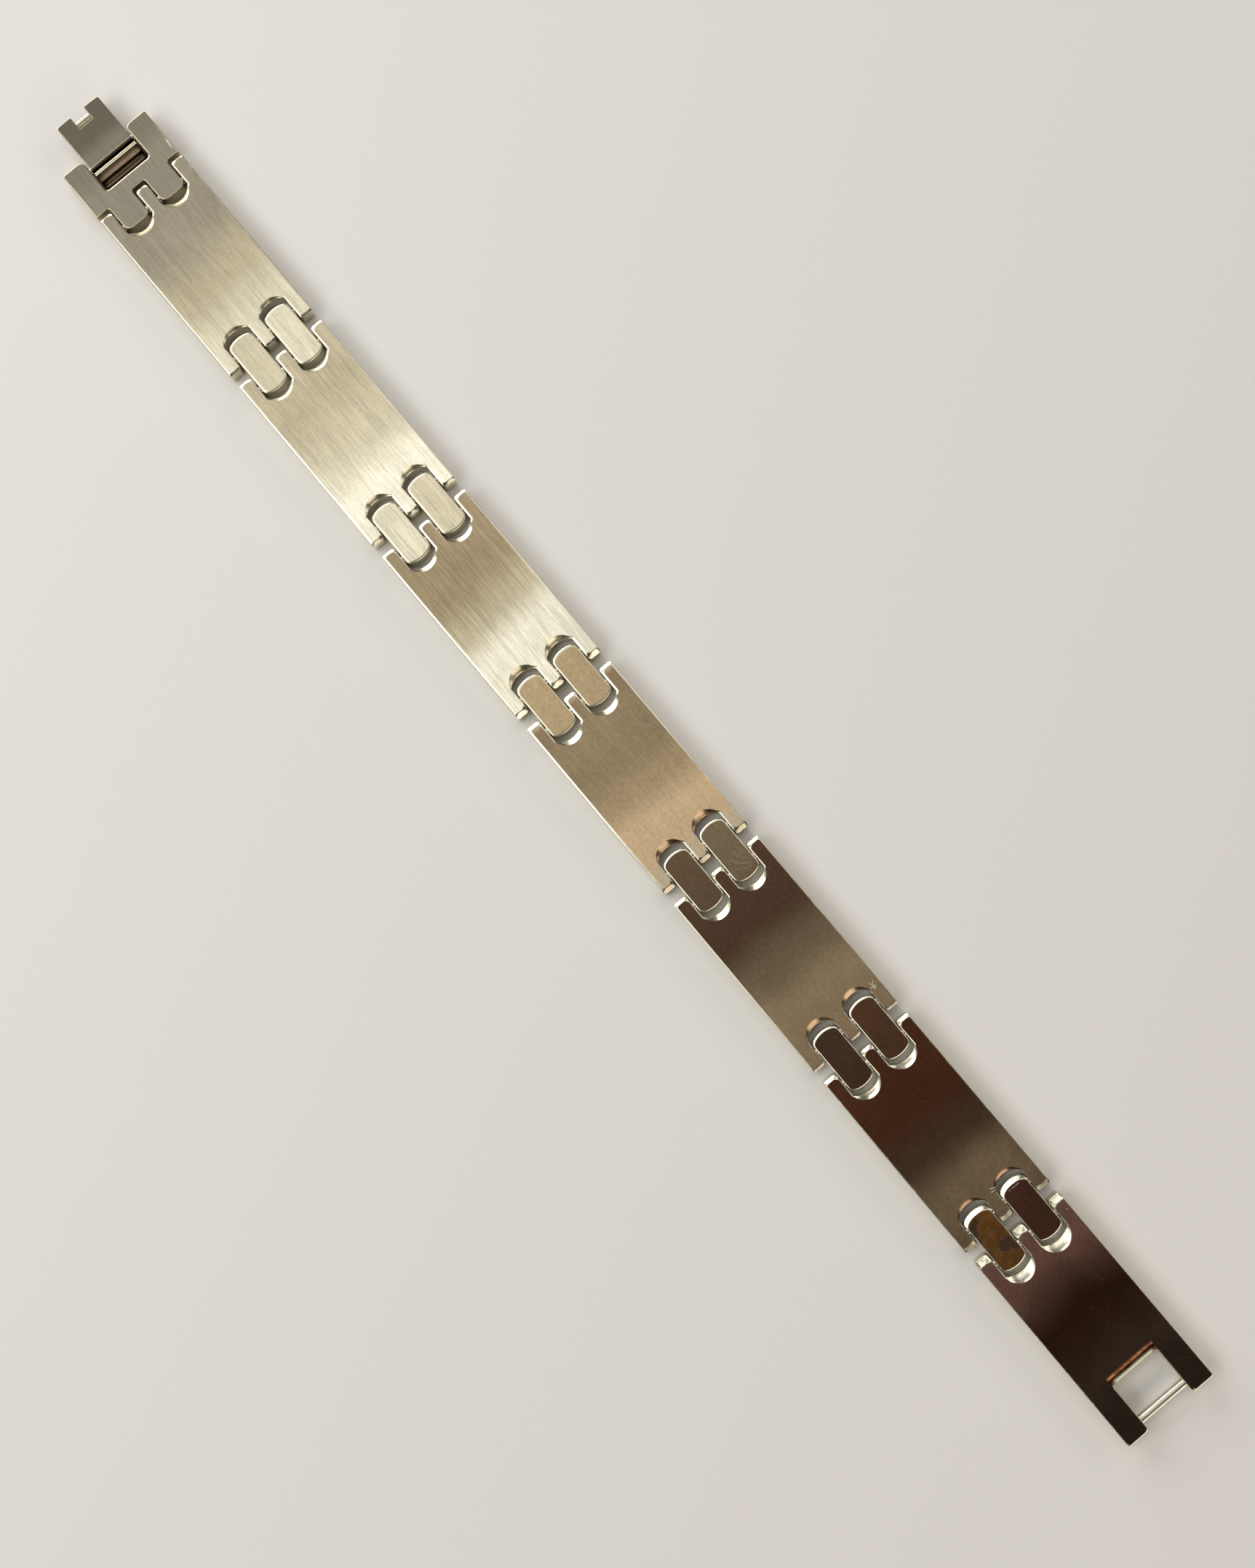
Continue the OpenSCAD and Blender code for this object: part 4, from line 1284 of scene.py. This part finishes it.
# %% Clasp lever
UNDER_Z = 1.27
TONGUE_STOP, TIP_NOTCH_LEN = 1.77, 1.9
BARREL_R, HOOK_W = 0.85, 6.48
SNAP_X, SNAP_Z, SNAP_R, SNAP_LEN = -4.1, 1.77, 0.45, 5.4
SNAP_BORE_R, SNAP_BORE_LEN = 0.47, 5.5


def tongue():
    """The rim of the tongue: notch, rounded tip corners and a rounder edge at its base."""
    n = 6
    half_l, half_t = 3.25, 1.05
    corner, lip = 0.3, 0.22
    wide, fine, base = 0.13, 0.07, 0.35
    tip, notch = -LEVER_REACH, -LEVER_REACH + TIP_NOTCH_LEN
    spots = [((HINGE_REACH, -half_l), wide), ((TONGUE_STOP, -half_l), base)]
    spots += [((TONGUE_STOP, half_l), wide), ((HINGE_REACH, half_l), wide)]
    spots += [(p, wide) for p in arc(tip + corner, half_l - corner, corner, 90, 180, n)]
    spots += [(p, fine) for p in arc(tip + lip, half_t + lip, lip, 180, 270, 4)]
    spots += [((notch, half_t), fine), ((notch, -half_t), fine)]
    spots += [(p, fine) for p in arc(tip + lip, -half_t - lip, lip, 90, 180, 4)]
    spots += [(p, wide) for p in arc(tip + corner, corner - half_l, corner, 180, 270, n)]
    return softened([p for p, _ in spots], [s for _, s in spots])


def across(profile, width, edge):
    """A solid from a clockwise side profile in (x, z), with round edges at both of its ends."""
    side = np.array(profile)[::-1]
    inside = inwards(side)
    rings = []
    half = width / 2
    steps = [(edge + 0.05, 0.0)] + [(edge * (1 - math.sin(a)), edge * (1 - math.cos(a)))
                                    for a in np.radians([0, 30, 60, 90])]
    for inset, back_off in steps:
        flat = side + inside * inset
        rings.append(np.column_stack([flat[:, 0], np.full(len(flat), half - back_off), flat[:, 1]]))
    for inset, back_off in steps[::-1]:
        flat = side + inside * inset
        rings.append(np.column_stack([flat[:, 0], np.full(len(flat), back_off - half), flat[:, 1]]))
    return skin(rings)


SEAT_X, SEAT_R = 3.85, 0.635
# Where the seat's painted shade starts, stops and pales, each as the two places of a soft border
GROOVE_START, GROOVE_STOP = (1.42, 1.60), (2.04, 2.10)
RIDGE_STOP, LIP_START = (2.50, 2.62), (4.44, 4.54)
PALE_START, PALE_STOP = (2.7, 3.3), (3.4, 4.0)
hook = np.concatenate([
    [(0.5, 1.62), (1.0, 1.9), (1.6, 1.9), (1.86, 1.62), (2.02, 1.62)],
    [(2.07, 1.98), (2.10, 2.08), (2.17, 2.12), (2.50, 2.12), (2.57, 2.08), (2.60, 1.98)],
    arc(SEAT_X, MID_Z, SEAT_R, 160, 360, 28),
    arc(4.66, 1.42, 0.16, 150, 0, 8),
    [(4.8, 0.9), (4.6, 0.3), (4.45, 0.2), (2.6, 0.2)],
    arc(HINGE_REACH, MID_Z, BARREL_R, -60, -175, 20),
])
lever = make_mesh("lever_piece", *skin(stand_up(tongue(), bottom=UNDER_Z, foot=0.08)))
combine(lever, make_mesh("hook", *across(hook, HOOK_W, 0.09)), "UNION")
cutters = [cross_bar(HINGE_REACH, MID_Z, BORE_R, 8), cross_bar(SNAP_X, SNAP_Z, SNAP_BORE_R, SNAP_BORE_LEN)]
combine(lever, make_mesh("bores", *gathered(cutters)), "DIFFERENCE")
lever.data.transform(Matrix.Translation((PRONG_X * MM, 0, 0)))
finish_shape(lever)


def risen(tree, x, border):
    """Goes from 0 to 1 along the band across a soft border, given from the prongs' tips, in mm."""
    return spread(tree, x, (PRONG_X + border[0]) * MM, (PRONG_X + border[1]) * MM)


def fallen(tree, x, border):
    """Goes from 1 to 0 across such a border."""
    return spread(tree, x, (PRONG_X + border[0]) * MM, (PRONG_X + border[1]) * MM, 1.0, 0.0)


def dark_seat(tree, colour, polished):
    """Painted shade and dark reflection in the groove and in the seat behind the ridge, paler along the
    seat's middle.
    """
    place = add(tree, "ShaderNodeTexCoord").outputs["Object"]
    parts = add(tree, "ShaderNodeSeparateXYZ", {0: place})
    x, z = parts.outputs[0], parts.outputs[2]
    above = spread(tree, z, 0.4 * MM, 0.56 * MM)
    before_lip = fallen(tree, x, LIP_START)
    high = spread(tree, z, 1.25 * MM, 1.4 * MM)
    seen = reckon(tree, "MULTIPLY", above, reckon(tree, "MAXIMUM", before_lip, high))
    in_groove = reckon(tree, "MULTIPLY", risen(tree, x, GROOVE_START), fallen(tree, x, GROOVE_STOP))
    past_ridge = risen(tree, x, RIDGE_STOP)
    middle = reckon(tree, "MULTIPLY", risen(tree, x, PALE_START), fallen(tree, x, PALE_STOP))
    brown = blend_colours(tree, middle, tint("seat_shadow"), tint("seat_reflection"))
    dark = reckon(tree, "MULTIPLY", reckon(tree, "MAXIMUM", in_groove, past_ridge), polished)
    dark = reckon(tree, "MULTIPLY", dark, seen)
    return blend_colours(tree, reckon(tree, "MULTIPLY", dark, 0.95), colour, brown)


# The lever's groove and seat are painted with shade and a dark reflection
lever.data.materials.append(brushed_metal(
    "brushed_lever", ["lead", "lead", "pewter"], PRONG_X - 5, PRONG_X + 2, seed=5.3, rough=0.38, lines=0.95,
    polished="straw", tarnish_and_shade=dark_seat))
pieces.append((lever, "lever", ["clasp_lever"], "clasp_steel"))
print("lever faces:", len(lever.data.polygons))

# %% [markdown]
# ## Pins and catch bar
#
# Every pin is turned: a round bar with softly domed ends. One helper spins a short profile round
# the pin's axis, which is how a lathe would make it. No part of a pin is brushed, so the height
# given for its flat face lies above all of it.

# %% Pins and catch bar
ABOVE_ALL = 9


def turned(name, x, z, r, length, steps=40):
    """A bar across the band with a small round edge and a slight dome at each end."""
    half = length / 2
    soft = r * 0.24
    profile = [(r * 0.25, half), (r * 0.55, half - 0.005), (r - soft, half - 0.02)]
    profile += [(r - soft * (1 - math.sin(a)), half - 0.02 - soft * (1 - math.cos(a)))
                for a in np.radians([30, 60, 90])]
    whole = [(radius, -y) for radius, y in profile] + [(radius, y) for radius, y in profile[::-1]]
    a = np.linspace(0, 2 * math.pi, steps, endpoint=False)
    rings = [np.column_stack([x - radius * np.cos(a), np.full(steps, y), z + radius * np.sin(a)])
             for radius, y in whole]
    return finish_shape(make_mesh(name, *skin(rings)), face_z=ABOVE_ALL)


pins = [("hinge_pin", "lever_hinge_pin", PRONG_X + HINGE_REACH),
        ("lug_pin", "link_pin_0", PRONG_X + LUG_PIN_REACH)]
for i, x in enumerate(PAIR_X):
    pins.append((f"pin_{i + 1}_in", f"link_pin_{i + 1}_in", x - PIN_SPACING / 2))
    pins.append((f"pin_{i + 1}_out", f"link_pin_{i + 1}_out", x + PIN_SPACING / 2))
for name, node, x in pins:
    pin = turned(name, x, MID_Z, PIN_R, PIN_LEN)
    pin.data.materials.append(pin_steel)
    pieces.append((pin, "band", [node], "polished_pin"))
snap = turned("snap_pin", PRONG_X + SNAP_X, SNAP_Z, SNAP_R, SNAP_LEN)
snap.data.materials.append(bar_steel)
pieces.append((snap, "lever", ["lever_snap_pin"], "polished_pin"))
bar = turned("catch_bar_piece", BAR_X, MID_Z, BAR_R, PIN_LEN)
bar.data.materials.append(bar_steel)
pieces.append((bar, "band", ["catch_bar"], "polished_pin"))
print("pins:", len(pins) + 2)

# %% [markdown]
# ## Ride on the bodies
#
# Each piece now rides on the body that it belongs to, and the CAD node that it stands for is
# hidden. The last lines count the triangles of all pieces and print the CAD nodes that no piece
# stands for.

# %% Ride, replace and measure
triangles = 0
for obj, body, nodes, slot in pieces:
    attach(obj, body)
    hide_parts(*nodes)
    triangles += sum(len(p.vertices) - 2 for p in obj.data.polygons)
left_over = sorted(n for n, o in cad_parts.items() if not o.hide_render)
print("pieces", len(pieces), "triangles", triangles, "nodes without a piece", left_over)
